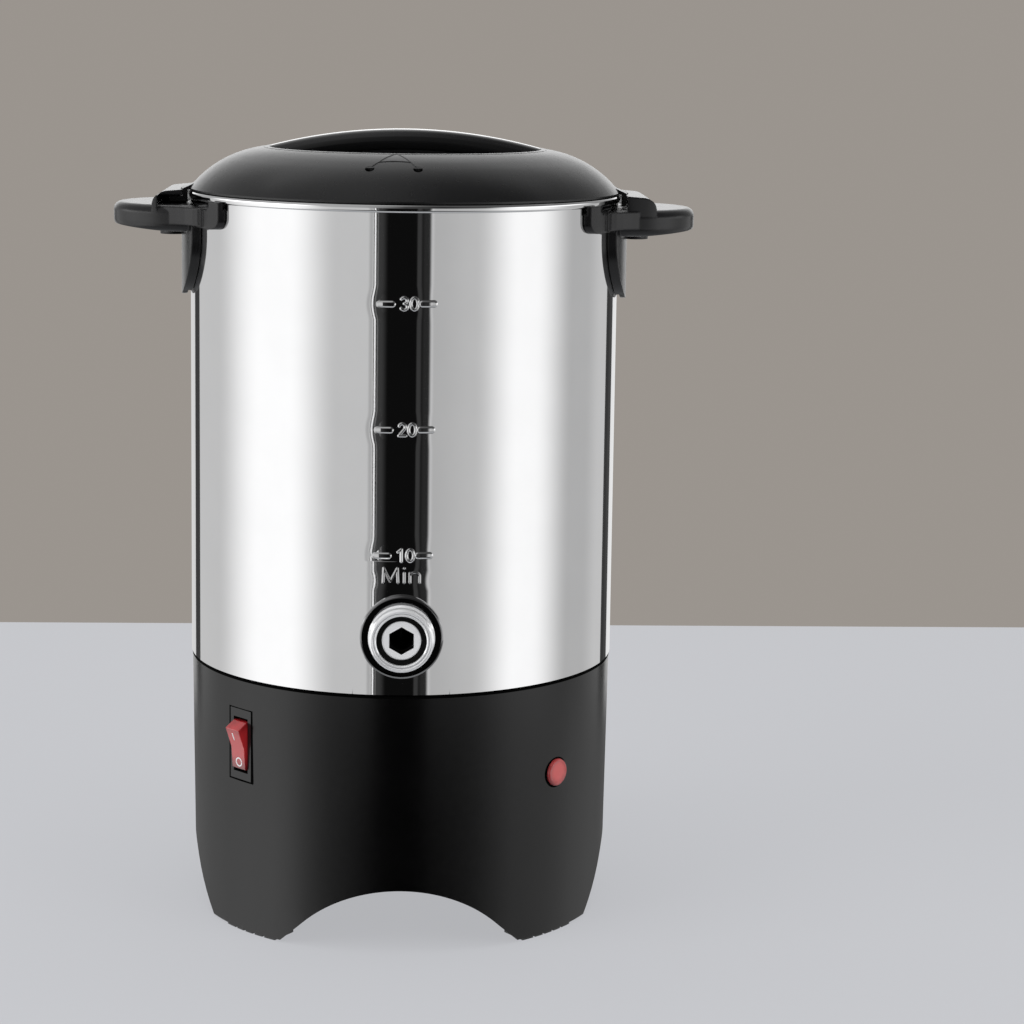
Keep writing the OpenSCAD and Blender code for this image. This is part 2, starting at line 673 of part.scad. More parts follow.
module base_skirt() {
    color([0.12, 0.12, 0.125]) difference() {
        union() {
            rotate_extrude($fn = 180) skirt_section();
            // bosses that carry the tank
            for (a = stud_az) at_az(a) translate([0, stud_r, deck_z + deck_t - e])
                cylinder(d = deck_boss_d, h = base_h - deck_z - deck_t + e);
            // posts for the base plate's screws, with ribs to the wall
            for (a = leg_az) at_az(a) {
                translate([0, -post_r, plate_z + plate_t]) cylinder(d = post_d, h = post_h);
                translate([-1.25, -skirt_r(plate_z) + 1.5, plate_z + plate_t])
                    cube([2.5, skirt_r(plate_z) - 1.5 - post_r, post_h]);
            }
            // ribs inside the legs
            for (a = leg_az, s = [-1, 1]) at_az(a + s * 6)
                translate([-1.1, -skirt_r(0) + 1.5, foot_proud + 1])
                    cube([2.2, skirt_r(0) - 1.5 - toe_r, plate_z - foot_proud - 1.4]);
        }
        // four arches
        rotate([90, 0, 0]) linear_extrude(cut, center = true) arch_outline(arch_front_h, arch_half_w);
        rotate([90, 0, 90]) linear_extrude(cut, center = true) arch_outline(arch_side_h, arch_side_half_w);
        // stud holes
        for (a = stud_az) at_az(a) translate([0, stud_r, deck_z - 5])
            cylinder(d = stud_d + 0.6, h = 30);
        // pilot holes of the base plate's screws
        for (a = leg_az) at_az(a) translate([0, -post_r, plate_z]) cylinder(d = 3, h = 16);
        // holes of the rubber feet
        for (a = leg_az) at_az(a) translate([0, -foot_pin_r, -1])
            cylinder(d = foot_pin_d + 0.1, h = 7.2);
        // switch window and its flat seat
        outward(switch_az, switch_face, switch_z) {
            translate([-bezel_w / 2 - bezel_fit, -bezel_h / 2 - bezel_fit, -bezel_t])
                cube([bezel_w + 2 * bezel_fit, bezel_h + 2 * bezel_fit, 10]);
            translate([-housing_w / 2 - 0.15, -housing_l / 2 - 0.15, -12])
                cube([housing_w + 0.3, housing_l + 0.3, 20]);
        }
        // lamp hole and its seat
        outward(lamp_az, lens_seat, lamp_z) {
            cylinder(d = lens_d + 0.4, h = 10);
            translate([0, 0, -12]) cylinder(d = lens_hole_d + 0.2, h = 20);
        }
        // cord inlet at the back
        outward(180, gland_seat, gland_z) {
            cylinder(d = spot_d, h = 10);
            translate([0, 0, -12]) cylinder(d = gland_body_d + 0.2, h = 20);
        }
    }
}

foot_pin_d = 6;
foot_pin_r = 86;
foot_half_angle = 9.5;
groove_w = 1.3;

module rubber_feet() {
    color([0.09, 0.09, 0.09]) for (a = leg_az) at_az(a - 90) {
        difference() {
            ring_sector(toe_r + 1.5, skirt_r(0) - 0.5, 0, foot_proud, foot_half_angle);
            for (s = [-1.5, -0.5, 0.5, 1.5]) rotate([0, 0, s * 3.6])
                translate([toe_r - 5, -groove_w / 2, -1])
                    cube([30, groove_w, 1 + foot_proud * 0.7]);
        }
        translate([foot_pin_r, 0, foot_proud - e]) cylinder(d = foot_pin_d, h = 5);
    }
}

module base_plate() {
    slot_rows = [30, 40, 50, 60];
    color([0.15, 0.15, 0.155]) difference() {
        union() {
            translate([0, 0, plate_z]) cylinder(r = plate_r, h = plate_t, $fn = 180);
            // stiffening ring on the inner side
            translate([0, 0, plate_z + plate_t - e]) difference() {
                cylinder(r = 70, h = 4);
                translate([0, 0, -1]) cylinder(r = 68, h = 6);
            }
        }
        for (a = leg_az) at_az(a) translate([0, -post_r, plate_z - 1]) {
            cylinder(d = 4.2, h = 10);
            cylinder(d = 7.6, h = 2);
        }
        // cooling slots, in two fields left and right of the middle
        for (r = slot_rows, s = [0, 180]) rotate([0, 0, s - 30])
            rotate_extrude(angle = 60) translate([r, plate_z - 1]) square([3, plate_t + 2]);
    }
}

module base_plate_screws() {
    color([0.7, 0.7, 0.72]) for (a = leg_az) at_az(a) translate([0, -post_r, plate_z + 1]) {
        translate([0, 0, -2]) cylinder(d = 7, h = 2);
        translate([0, 0, -e]) cylinder(d = 3, h = 14);
    }
}

stud_end = deck_z - 7;

module tank_studs() {
    color([0.75, 0.75, 0.77]) for (a = stud_az) at_az(a) translate([0, stud_r, stud_end])
        cylinder(d = stud_d, h = base_h - stud_end);
}

module tank_stud_washers() {
    color([0.8, 0.8, 0.82]) for (a = stud_az) at_az(a) translate([0, stud_r, deck_z - 1])
        difference() {
            cylinder(d = 10, h = 1);
            translate([0, 0, -1]) cylinder(d = stud_d + 0.3, h = 3);
        }
}

module tank_stud_nuts() {
    color([0.7, 0.7, 0.72]) for (a = stud_az) at_az(a) translate([0, stud_r, deck_z - 4.2])
        difference() {
            cylinder(d = 7 / cos(30), h = 3.2, $fn = 6);
            translate([0, 0, -1]) cylinder(d = stud_d + 0.1, h = 6);
        }
}

// ---------------------------------------------------------------- switch
module switch_housing() {
    sweep = rocker_sweep + 0.35;
    color([0.06, 0.06, 0.06]) outward(switch_az, switch_face, switch_z) difference() {
        union() {
            translate([-bezel_w / 2, -bezel_h / 2, -bezel_t]) cube([bezel_w, bezel_h, bezel_t]);
            translate([-housing_w / 2, -housing_l / 2, -housing_back])
                cube([housing_w, housing_l, housing_back - 0.5]);
        }
        translate([-rocker_w / 2 - 0.3, -sweep, -housing_back + 2.5])
            cube([rocker_w + 0.6, 2 * sweep, housing_back]);
        translate([0, 0, -pivot_depth]) rotate([0, 90, 0])
            cylinder(d = trunnion_d + 2 * pivot_clear, h = rocker_w + 2.4, center = true);
        for (y = [-8, 0, 8]) translate([-3.2, y - 0.45, -housing_back - 1])
            cube([6.4, 0.9, 6]);
    }
}

// Outline of the rocker across its pivot; y runs up the panel, x outwards from the pivot
module rocker_outline() {
    l = rocker_half_l;
    a = rocker_apex;
    h = a + rocker_tip;
    difference() {
        intersection() {
            circle(rocker_sweep);
            union() {
                polygon([[-4.5, -l * 0.75], [h, -l], [a, 0], [h, l], [-4.5, l * 0.75]]);
            }
        }
        translate([-6, -2]) square([3.4, 4]);
    }
}

module switch_rocker() {
    color([0.72, 0.08, 0.09]) outward(switch_az, switch_face - pivot_depth, switch_z)
        rotate([rocker_throw / 2, 0, 0]) {
            rotate([0, -90, 0]) linear_extrude(rocker_w, center = true) rocker_outline();
            rotate([0, 90, 0]) cylinder(d = trunnion_d, h = rocker_w + 2.2, center = true);
        }
}

module switch_terminals() {
    color([0.8, 0.68, 0.4]) outward(switch_az, switch_face, switch_z)
        for (y = [-8, 0, 8]) difference() {
            translate([-3.15, y - 0.4, -housing_back - 9]) cube([6.3, 0.8, 11]);
            translate([0, y - 2, -housing_back - 6]) rotate([-90, 0, 0]) cylinder(d = 1.6, h = 4);
        }
}

// ---------------------------------------------------------------- indicator lamp
lens_seat = chord(skirt_r(lamp_z), lens_d / 2 + 0.2);

module indicator_lens() {
    r = lens_d / 2;
    cap = (r * r + lens_proud * lens_proud) / (2 * lens_proud);
    color([0.85, 0.25, 0.28, 0.9]) outward(lamp_az, lens_seat, lamp_z) difference() {
        union() {
            intersection() {
                translate([0, 0, lens_proud - cap]) sphere(cap);
                cylinder(r = r, h = 10);
            }
            translate([0, 0, -8]) cylinder(d = lens_hole_d, h = 8 + e);
        }
        translate([0, 0, -9]) cylinder(d = 6.4, h = 9);
    }
}

module indicator_lamp() {
    color([0.9, 0.6, 0.45]) outward(lamp_az, lens_seat, lamp_z) {
        translate([0, 0, -12]) cylinder(d = 6.3, h = 11);
        for (s = [-1, 1]) translate([s * 1.6, 0, -22]) cylinder(d = 1.2, h = 10 + e);
    }
}

module indicator_clip() {
    clip_d = 16;
    seat = chord(skirt_r(lamp_z - clip_d / 2) - skirt_t, clip_d / 2);
    color([0.7, 0.7, 0.72]) outward(lamp_az, seat - 0.8, lamp_z) difference() {
        cylinder(d = clip_d, h = 0.8);
        translate([0, 0, -1]) cylinder(d = lens_hole_d + 0.05, h = 4);
        for (s = [0, 90]) rotate([0, 0, s]) translate([-0.5, -6.4, -1]) cube([1, 12.8, 4]);
    }
}

// ---------------------------------------------------------------- heater
heat_plate_in = well_r + floor_t + 1.5;
heat_plate_out = 46;
heat_plate_t = 3;
element_d = 6.6;
element_r = 30;
element_sink = 0.8;
element_z = base_h - heat_plate_t - element_d / 2 + element_sink;
element_gap = 40;                  // half angle of the gap between the element's ends
pin_len = 9;

module heat_plate() {
    color([0.78, 0.78, 0.8]) difference() {
        translate([0, 0, base_h - heat_plate_t]) cylinder(r = heat_plate_out, h = heat_plate_t);
        cylinder(r = heat_plate_in, h = cut);
        rotate_extrude() translate([element_r, element_z]) circle(element_d / 2 + 0.05);
        for (s = [-1, 1]) translate([s * bridge_foot_x, 0, base_h - heat_plate_t - 1])
            cylinder(d = 3.1, h = 3);
    }
}

// One end of the element: a quarter bend, a straight leg and the terminal pin
module element_end(side) {
    bend = 6;
    translate([element_r, 0, element_z - bend]) {
        rotate([0, 90, 0]) rotate([0, 0, side > 0 ? 90 : 180]) rotate_extrude(angle = 90)
            translate([bend, 0]) circle(element_d / 2);
        translate([0, side * bend, -pin_len + e]) {
            cylinder(d = element_d, h = pin_len);
            translate([0, 0, -8]) cylinder(d = 2.4, h = 9);
        }
    }
}

module heating_element() {
    color([0.35, 0.33, 0.32]) {
        rotate([0, 0, 90 + element_gap]) rotate_extrude(angle = 360 - 2 * element_gap)
            translate([element_r, element_z]) circle(element_d / 2);
        for (s = [-1, 1]) rotate([0, 0, 90 + s * element_gap]) element_end(-s);
    }
}

bridge_t = 1;
bridge_w = 10;
bridge_foot_x = 41;
bridge_drop = 8;                   // the strip lies this far below the well

module thermostat() {
    color([0.2, 0.2, 0.22]) translate([0, 0, well_bottom - bridge_drop]) {
        translate([0, 0, 3]) cylinder(d = 16, h = bridge_drop - 3);
        cylinder(d = 12, h = 3 + e);
        for (s = [-1, 1]) translate([s * 4 - 0.4, 5, 3.4]) cube([0.8, 11.4, 2.4]);
    }
}

module thermostat_bridge() {
    z0 = well_bottom - bridge_drop - bridge_t;
    top = base_h - heat_plate_t;
    color([0.75, 0.75, 0.77]) difference() {
        union() {
            translate([-bridge_foot_x + 3, -bridge_w / 2, z0])
                cube([2 * bridge_foot_x - 6, bridge_w, bridge_t]);
            for (s = [0, 180]) rotate([0, 0, s]) {
                translate([bridge_foot_x - 4, -bridge_w / 2, z0]) cube([bridge_t, bridge_w, top - z0]);
                translate([bridge_foot_x - 4, -bridge_w / 2, top - bridge_t]) cube([8.5, bridge_w, bridge_t]);
            }
        }
        for (s = [-1, 1]) translate([s * bridge_foot_x, 0, top - 5]) cylinder(d = 3.2, h = 10);
    }
}

module bridge_screws() {
    top = base_h - heat_plate_t;
    color([0.8, 0.8, 0.82]) for (s = [-1, 1]) translate([s * bridge_foot_x, 0, top - bridge_t]) {
        translate([0, 0, -2]) cylinder(d = 5.6, h = 2);
        translate([0, 0, -e]) cylinder(d = 3, h = bridge_t + 1.8);
    }
}

module thermal_fuse() {
    z0 = base_h - heat_plate_t - 2.3;
    color([0.85, 0.85, 0.8]) translate([0, -38, z0]) rotate([0, 90, 0]) {
        cylinder(d = 4.6, h = 12, center = true);
        cylinder(d = 1, h = 30, center = true);
    }
}

// ---------------------------------------------------------------- wiring and inlet
block_l = 34;
block_w = 16;
block_h = 14;
block_y = 56;

module terminal_block() {
    color([0.9, 0.88, 0.82]) translate([-block_l / 2, block_y - block_w / 2, plate_z + plate_t])
        difference() {
            cube([block_l, block_w, block_h]);
            for (i = [0:2]) translate([block_l * (i + 0.5) / 3, 0, 0]) {
                translate([0, -1, 7]) rotate([-90, 0, 0]) cylinder(d = 4.4, h = block_w + 2);
                for (y = [4, block_w - 4]) translate([0, y, 6]) cylinder(d = 4, h = 10);
            }
        }
}

module terminal_screws() {
    color([0.8, 0.7, 0.45]) translate([-block_l / 2, block_y - block_w / 2, plate_z + plate_t])
        for (i = [0:2], y = [4, block_w - 4]) translate([block_l * (i + 0.5) / 3, y, 6.2])
            cylinder(d = 3.9, h = 7);
}

gland_seat = chord(skirt_r(gland_z), spot_d / 2);
gland_len = 13;
gland_flange_t = 2.5;
gland_reach = collar_face - gland_seat;        // the nose stands out as far as the tap port
gland_groove = 1;
gland_nut_d = 18;
gland_nut_face = chord(skirt_r(gland_z - gland_nut_d / 2) - skirt_t, gland_nut_d / 2);

module cord_gland() {
    color([0.1, 0.1, 0.1]) outward(180, gland_seat, gland_z) difference() {
        union() {
            cylinder(d1 = 18, d2 = 17, h = gland_flange_t);
            translate([0, 0, gland_flange_t - e])
                cylinder(d1 = 13.6, d2 = 11, h = gland_reach - gland_flange_t + e);
            translate([0, 0, -gland_len]) cylinder(d = gland_body_d, h = gland_len + e);
        }
        translate([0, 0, -gland_len - 1]) cylinder(d = gland_bore_d, h = cut);
        // grooves that let the nose bend
        for (i = [1:3]) translate([0, 0, gland_flange_t + 2.2 * i - gland_groove])
            difference() {
                cylinder(d = 20, h = gland_groove);
                translate([0, 0, -1]) cylinder(d = 10.2, h = gland_groove + 2);
            }
    }
}

module cord_gland_nut() {
    color([0.2, 0.2, 0.2]) outward(180, gland_nut_face - 4, gland_z) difference() {
        cylinder(d = gland_nut_d, h = 4, $fn = 6);
        translate([0, 0, -1]) cylinder(d = gland_body_d + 0.1, h = 6);
    }
}

// ---------------------------------------------------------------- percolator
tube_top = rim_z - tube_drop;
tube_r = tube_d / 2;
bell_r = well_r - 1.5;
bell_h = 9;
well_floor = well_bottom + floor_t;
basket_top = rim_z - basket_drop;
basket_floor = basket_top - basket_h;
tube_wall = 0.7;

module pump_tube() {
    color([0.85, 0.85, 0.86]) difference() {
        union() {
            translate([0, 0, well_floor + 4]) cylinder(r = tube_r, h = tube_top - well_floor - 4);
            // shoulder that carries the basket
            translate([0, 0, basket_floor - 3]) cylinder(r = tube_r + 2.4, h = 3);
        }
        translate([0, 0, well_floor]) cylinder(r = tube_r - tube_wall, h = cut);
    }
}

module pump_bell() {
    color([0.85, 0.85, 0.86]) difference() {
        rotate_extrude() polygon([[0, well_floor], [bell_r, well_floor], [bell_r, well_floor + 1.5],
            [tube_r + 2.5, well_floor + bell_h - 2], [tube_r + 2, well_floor + bell_h],
            [0, well_floor + bell_h]]);
        translate([0, 0, well_floor - 1]) cylinder(r1 = bell_r - 0.2, r2 = tube_r + 2, h = 4.8);
        translate([0, 0, well_floor + 4]) cylinder(r = tube_r + 0.05, h = 20);
        for (a = [0:60:300]) rotate([0, 0, a]) translate([0, 0, well_floor - 1])
            translate([bell_r - 4, -1.5, 0]) cube([8, 3, 2.2]);
    }
}

module pump_valve_disc() {
    color([0.75, 0.75, 0.77]) translate([0, 0, well_floor + 0.2]) difference() {
        cylinder(r = tube_r + 4.5, h = 0.8);
        for (a = [0:90:270]) rotate([0, 0, a]) translate([tube_r + 1.2, 0, -1]) cylinder(d = 1.6, h = 3);
    }
}

basket_rings = [[16, 8], [26, 14], [36, 20], [46, 26]];
hole_d = 2;

module perforate(z) {
    for (ring = basket_rings, i = [0:ring[1] - 1]) rotate([0, 0, 360 * i / ring[1]])
        translate([ring[0], 0, z]) cylinder(d = hole_d, h = 6);
}

module coffee_basket() {
    color([0.82, 0.82, 0.83]) difference() {
        union() {
            translate([0, 0, basket_floor]) difference() {
                cylinder(r = basket_r, h = basket_h);
                translate([0, 0, basket_t]) cylinder(r = basket_r - basket_t, h = basket_h);
            }
            // rolled rim
            rotate_extrude() translate([basket_r, basket_top - 1]) circle(1);
            // sleeve round the tube
            translate([0, 0, basket_floor]) cylinder(r = tube_r + 1.2, h = basket_h - 4);
        }
        translate([0, 0, basket_floor - 1]) cylinder(r = tube_r + 0.2, h = basket_h + 10);
        perforate(basket_floor - 2);
    }
}

module basket_cover() {
    z0 = basket_top - 3.6;
    color([0.82, 0.82, 0.83]) difference() {
        union() {
            translate([0, 0, z0]) cylinder(r = basket_r - basket_t - 0.3, h = 0.8);
            translate([0, 0, z0]) difference() {
                cylinder(r = basket_r - basket_t - 0.3, h = 3);
                translate([0, 0, -1]) cylinder(r = basket_r - basket_t - 1.1, h = 6);
            }
            translate([0, 0, z0]) cylinder(r = tube_r + 2.2, h = 4);
        }
        translate([0, 0, z0 - 1]) cylinder(r = tube_r + 0.2, h = 10);
        perforate(z0 - 2);
    }
}

tank_shell();
handle_left();
handle_right();
handle_inserts();
handle_screws();
handle_washers();
lid_shell();
lid_grip();
lid_grip_screws();
port_washer();
port_collar();
port_seal_ring();
port_nipple();
port_inner_washer();
base_skirt();
base_plate();
base_plate_screws();
rubber_feet();
tank_studs();
tank_stud_washers();
tank_stud_nuts();
switch_housing();
switch_rocker();
switch_terminals();
indicator_lens();
indicator_lamp();
indicator_clip();
heating_element();
heat_plate();
thermostat();
thermostat_bridge();
bridge_screws();
thermal_fuse();
terminal_block();
terminal_screws();
cord_gland();
cord_gland_nut();
pump_tube();
pump_bell();
pump_valve_disc();
coffee_basket();
basket_cover();
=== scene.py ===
"""Dresses the percolating coffee urn: finishes, pressed level marks, printed signs and a studio.

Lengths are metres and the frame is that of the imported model: +Z is up, the tap port faces -Y and
the origin is the tank's axis on the standing plane. Azimuths are degrees about +Z, from the front
towards +X.
"""

import json
import logging
import math
from dataclasses import dataclass
from enum import Enum

import bpy
import numpy as np
from mathutils import Matrix


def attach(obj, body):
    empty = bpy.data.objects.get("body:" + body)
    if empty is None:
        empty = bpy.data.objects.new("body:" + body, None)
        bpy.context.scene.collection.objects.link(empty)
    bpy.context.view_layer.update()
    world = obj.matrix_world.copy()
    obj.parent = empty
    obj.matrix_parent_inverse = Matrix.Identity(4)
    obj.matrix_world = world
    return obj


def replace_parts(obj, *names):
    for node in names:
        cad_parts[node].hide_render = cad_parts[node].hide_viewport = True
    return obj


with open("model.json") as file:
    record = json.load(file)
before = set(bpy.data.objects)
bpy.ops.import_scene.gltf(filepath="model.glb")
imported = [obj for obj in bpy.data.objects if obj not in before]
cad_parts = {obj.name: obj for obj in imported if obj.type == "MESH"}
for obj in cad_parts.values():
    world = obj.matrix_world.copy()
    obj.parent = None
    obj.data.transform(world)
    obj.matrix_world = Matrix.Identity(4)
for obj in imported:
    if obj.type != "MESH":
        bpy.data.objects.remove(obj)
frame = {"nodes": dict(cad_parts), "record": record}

LOG = logging.getLogger("coffee_urn")
MM = 0.001
TANK_R = 96 * MM
PORT_Z = 141.2 * MM
Triple = tuple[float, float, float]
Colour = Triple
WHITE: Colour = (1.0, 1.0, 1.0)
# near black painted into the port's bore as the shade inside the hole
BORE_PAINTED_SHADE: Colour = (0.004, 0.004, 0.004)


# ------------------------------------------------------------------ shader maths
class Val:
    """A number that varies over a surface, held as one output socket; operators add Math nodes."""

    def __init__(self, book: "Book", socket: bpy.types.NodeSocket) -> None:
        """Wraps a socket.

        Args:
            book: the material's node book, which adds the nodes.
            socket: the output socket that carries the number.
        """
        self.book, self.socket = book, socket

    def math(self, operation: str, *rest: "Val | float") -> "Val":
        """One Math node on this value and the others.

        Args:
            operation: the Math node's operation.
            rest: the other operands, values or numbers.

        Returns:
            The node's result.
        """
        links = {i: v for i, v in enumerate((self, *rest))}
        return self.book.node("ShaderNodeMath", {"operation": operation}, links)

    def pick(self, name: str) -> "Val":
        """Another output of the same node, by its name."""
        return Val(self.book, self.socket.node.outputs[name])

    def __add__(self, o: "Val | float") -> "Val":
        """Sum."""
        return self.math("ADD", o)

    __radd__ = __add__

    def __sub__(self, o: "Val | float") -> "Val":
        """Difference."""
        return self.math("SUBTRACT", o)

    def __rsub__(self, o: float) -> "Val":
        """Difference, reflected."""
        return self.math("MULTIPLY_ADD", -1.0, o)

    def __mul__(self, o: "Val | float") -> "Val":
        """Product."""
        return self.math("MULTIPLY", o)

    __rmul__ = __mul__

    def __truediv__(self, o: "Val | float") -> "Val":
        """Quotient."""
        return self.math("DIVIDE", o)

    def __pow__(self, o: float) -> "Val":
        """Power."""
        return self.math("POWER", o)

    def sin(self) -> "Val":
        """Sine, of radians."""
        return self.math("SINE")

    def hypot(self, o: "Val") -> "Val":
        """Length of the arrow that has these two parts."""
        return (self * self + o * o).math("SQRT")

    def most(self, o: "Val | float") -> "Val":
        """The larger of the two."""
        return self.math("MAXIMUM", o)

    def ease(self, low: float, high: float) -> "Val":
        """A smooth step from 0 at low to 1 at high."""
        settings = {"interpolation_type": "SMOOTHSTEP", "clamp": True}
        links = {0: self, 1: low, 2: high, 3: 0.0, 4: 1.0}
        return self.book.node("ShaderNodeMapRange", settings, links)

    def band(self, rise: float, full: float, fall: float, end: float) -> "Val":
        """A smooth plateau: 0 up to rise, 1 from full to fall, 0 again from end."""
        return self.ease(rise, full) * (1 - self.ease(fall, end))

    def bell(self, centre: float, width: float) -> "Val":
        """exp(-((v - centre) / width) squared)."""
        t = (self - centre) * (1 / width)
        return (t * t * -1.0).math("EXPONENT")


class Book:
    """The node tree of one material or world."""

    def __init__(self, owner: bpy.types.Material | bpy.types.World) -> None:
        """Turns the owner's nodes on and empties them, so that they are only this book's."""
        owner.use_nodes = True
        owner.node_tree.nodes.clear()
        self.owner, self.tree = owner, owner.node_tree

    def node(self, kind: str, settings: dict | None = None, links: dict | None = None,
             out: int | str = 0) -> Val:
        """Adds one node.

        Args:
            kind: the node's type name.
            settings: the node's own properties, set first; "stops" fills a colour ramp.
            links: values or links of its input sockets, by name or number.
            out: the output that the result stands for.

        Returns:
            That output as a value.
        """
        made = self.tree.nodes.new(kind)
        for key, value in (settings or {}).items():
            if key == "stops":
                ramp = made.color_ramp
                while len(ramp.elements) > 1:
                    ramp.elements.remove(ramp.elements[-1])
                for i, (place, colour) in enumerate(value):
                    stop = ramp.elements[0] if i == 0 else ramp.elements.new(place)
                    stop.position, stop.color = place, (*colour, 1.0)
            else:
                setattr(made, key, value)
        for key, value in (links or {}).items():
            target = made.inputs[key]
            if isinstance(value, Val):
                self.tree.links.new(value.socket, target)
            elif target.type == "RGBA" and len(value) == 3:
                target.default_value = (*value, 1.0)
            else:
                target.default_value = value
        return Val(self, made.outputs[out] if len(made.outputs) else None)

    def place(self) -> Val:
        """The Object coordinates, which in this frame are metres."""
        return self.node("ShaderNodeTexCoord", out="Object")

    def axes(self, at: Val) -> tuple[Val, Val, Val]:
        """The three parts of a vector."""
        x = self.node("ShaderNodeSeparateXYZ", {}, {0: at})
        return x, x.pick("Y"), x.pick("Z")

    def stretched(self, at: Val, scale: Triple) -> Val:
        """The vector scaled along the three axes."""
        return self.node("ShaderNodeMapping", {}, {"Vector": at, "Scale": scale})

    def noise(self, at: Val, scale: float, detail: float = 2.0, rough: float = 0.5) -> Val:
        """Noise about 0.5, with scale cells to a metre."""
        return self.node("ShaderNodeTexNoise", {}, {
            "Vector": at, "Scale": scale, "Detail": detail, "Roughness": rough})

    def mixed(self, share: Val | float, a: Val | Colour, b: Val | Colour) -> Val:
        """Colour a where share is 0 and colour b where it is 1."""
        return self.node("ShaderNodeMix", {"data_type": "RGBA"}, {0: share, 6: a, 7: b}, out=2)

    def bump(self, height: Val, edge: float = 0.0) -> Val:
        """The normal that a height in metres gives, with edges eased to the radius edge."""
        links: dict[str, Val | float] = {"Height": height, "Strength": 1.0, "Distance": 1.0}
        if edge:
            links["Normal"] = self.node("ShaderNodeBevel", {"samples": 6}, {"Radius": edge})
        return self.node("ShaderNodeBump", {}, links, out="Normal")

    def azimuth(self, x: Val, y: Val) -> Val:
        """Degrees about +Z, from the front towards +X."""
        return x.math("ARCTAN2", y * -1.0) * (180 / math.pi)

    def course(self, degrees: Val, stops: tuple[tuple[float, float], ...]) -> Val:
        """A grey level that runs smoothly from stop to stop, each an azimuth and its level."""
        ramp = [((a + 180) / 360, (level, level, level)) for a, level in stops]
        return self.node("ShaderNodeValToRGB", {"stops": ramp}, {0: degrees / 360 + 0.5})


# ------------------------------------------------------------------ finishes
@dataclass(frozen=True)
class Finish:
    """A surface finish; the numbers that don't vary go straight on the shader's sockets."""

    name: str
    colour: Colour
    roughness: float
    metallic: float = 0.0
    ior: float = 1.5
    coat: float = 0.0
    coat_roughness: float = 0.1
    transmission: float = 0.0
    mottle: float = 0.08
    mottle_scale: float = 45.0
    grain: float = 2e-6
    grain_scale: float = 2600.0
    rough_swing: float = 0.04
    stretch: Triple = (1.0, 1.0, 1.0)
    edge: float = 0.0

    def relief(self, book: Book, at: Val) -> Val | None:
        """Extra height in metres, beyond the grain; none here."""
        return None

    def tint(self, book: Book, at: Val) -> Val:
        """The colour, with slow variation over the surface.

        Args:
            book: the material's nodes.
            at: Object coordinates.

        Returns:
            The varied colour.
        """
        slow = book.noise(at, self.mottle_scale, 3.0)
        dark = tuple(c * (1 - self.mottle) for c in self.colour)
        light = tuple(min(1.0, c * (1 + self.mottle)) for c in self.colour)
        return book.mixed(slow.ease(0.3, 0.7), dark, light)

    def sheen(self, book: Book, at: Val) -> Val:
        """The roughness, varied by fine noise that follows the finish's grain."""
        fine = book.noise(book.stretched(at, self.stretch), self.grain_scale * 0.12, 3.0)
        return (fine - 0.5) * (2 * self.rough_swing) + self.roughness

    def material(self) -> bpy.types.Material:
        """Makes the material.

        Returns:
            A material whose colour, roughness and normal come from its nodes.
        """
        book = Book(bpy.data.materials.new(self.name))
        at = book.place()
        height = book.noise(book.stretched(at, self.stretch), self.grain_scale, 2.0) * self.grain
        extra = self.relief(book, at)
        if extra is not None:
            height = height + extra
        shader = book.node("ShaderNodeBsdfPrincipled", {}, {
            "Base Color": self.tint(book, at), "Roughness": self.sheen(book, at),
            "Metallic": self.metallic, "IOR": self.ior, "Coat Weight": self.coat,
            "Coat Roughness": self.coat_roughness, "Transmission Weight": self.transmission,
            "Normal": book.bump(height, self.edge)})
        book.node("ShaderNodeOutputMaterial", {}, {"Surface": shader})
        return book.owner


@dataclass(frozen=True)
class MirrorSteel(Finish):
    """Buffed stainless sheet: a mirror outside with faint roller waves, satin inside the tank."""

    wave: float = 2.2e-5
    seam: float = 4e-5

    def relief(self, book: Book, at: Val) -> Val:
        """Long shallow waves of the drawn wall, and the dressed weld seam at the back."""
        x, y, _ = book.axes(at)
        wave = book.noise(book.stretched(at, (14.0, 14.0, 3.0)), 1.0, 1.0) * self.wave
        back = (y - TANK_R * 0.9).ease(0.0, 0.004)
        return wave + x.bell(0.0, 0.0012) * back * self.seam

    def sheen(self, book: Book, at: Val) -> Val:
        """Mirror outside with hairlines of polish; dull where the radius is inside the wall."""
        x, y, _ = book.axes(at)
        radius = x.hypot(y)
        inside = 1 - radius.ease(TANK_R - 0.0009, TANK_R - 0.0005)
        lines = book.noise(book.stretched(at, (900.0, 900.0, 30.0)), 1.0, 2.0)
        cloud = book.noise(at, 24.0, 2.0).ease(0.45, 0.75)
        return inside * 0.22 + lines.ease(0.62, 0.8) * 0.02 + cloud * 0.012 + self.roughness


@dataclass(frozen=True)
class MouldedPlastic(Finish):
    """Spark-eroded black moulding: a fine even grain, slow flow marks and scuffed low edges."""

    scuff_top: float = 0.0
    scuff: float = 0.05

    def tint(self, book: Book, at: Val) -> Val:
        """The moulding's colour, greyed by scuffs below scuff_top."""
        base = super().tint(book, at)
        if not self.scuff_top:
            return base
        z = book.axes(at)[2]
        specks = book.noise(at, 700.0, 4.0, 0.65).ease(0.56, 0.72)
        share = specks * (1 - z.ease(0.0, self.scuff_top)) * 0.55
        return book.mixed(share, base, (self.scuff, self.scuff, self.scuff * 1.02))

    def relief(self, book: Book, at: Val) -> Val:
        """The slow sink and flow of a thick moulding."""
        return book.noise(at, 16.0, 1.0) * 2.5e-5 + book.noise(at, 900.0, 1.0) * 3e-6


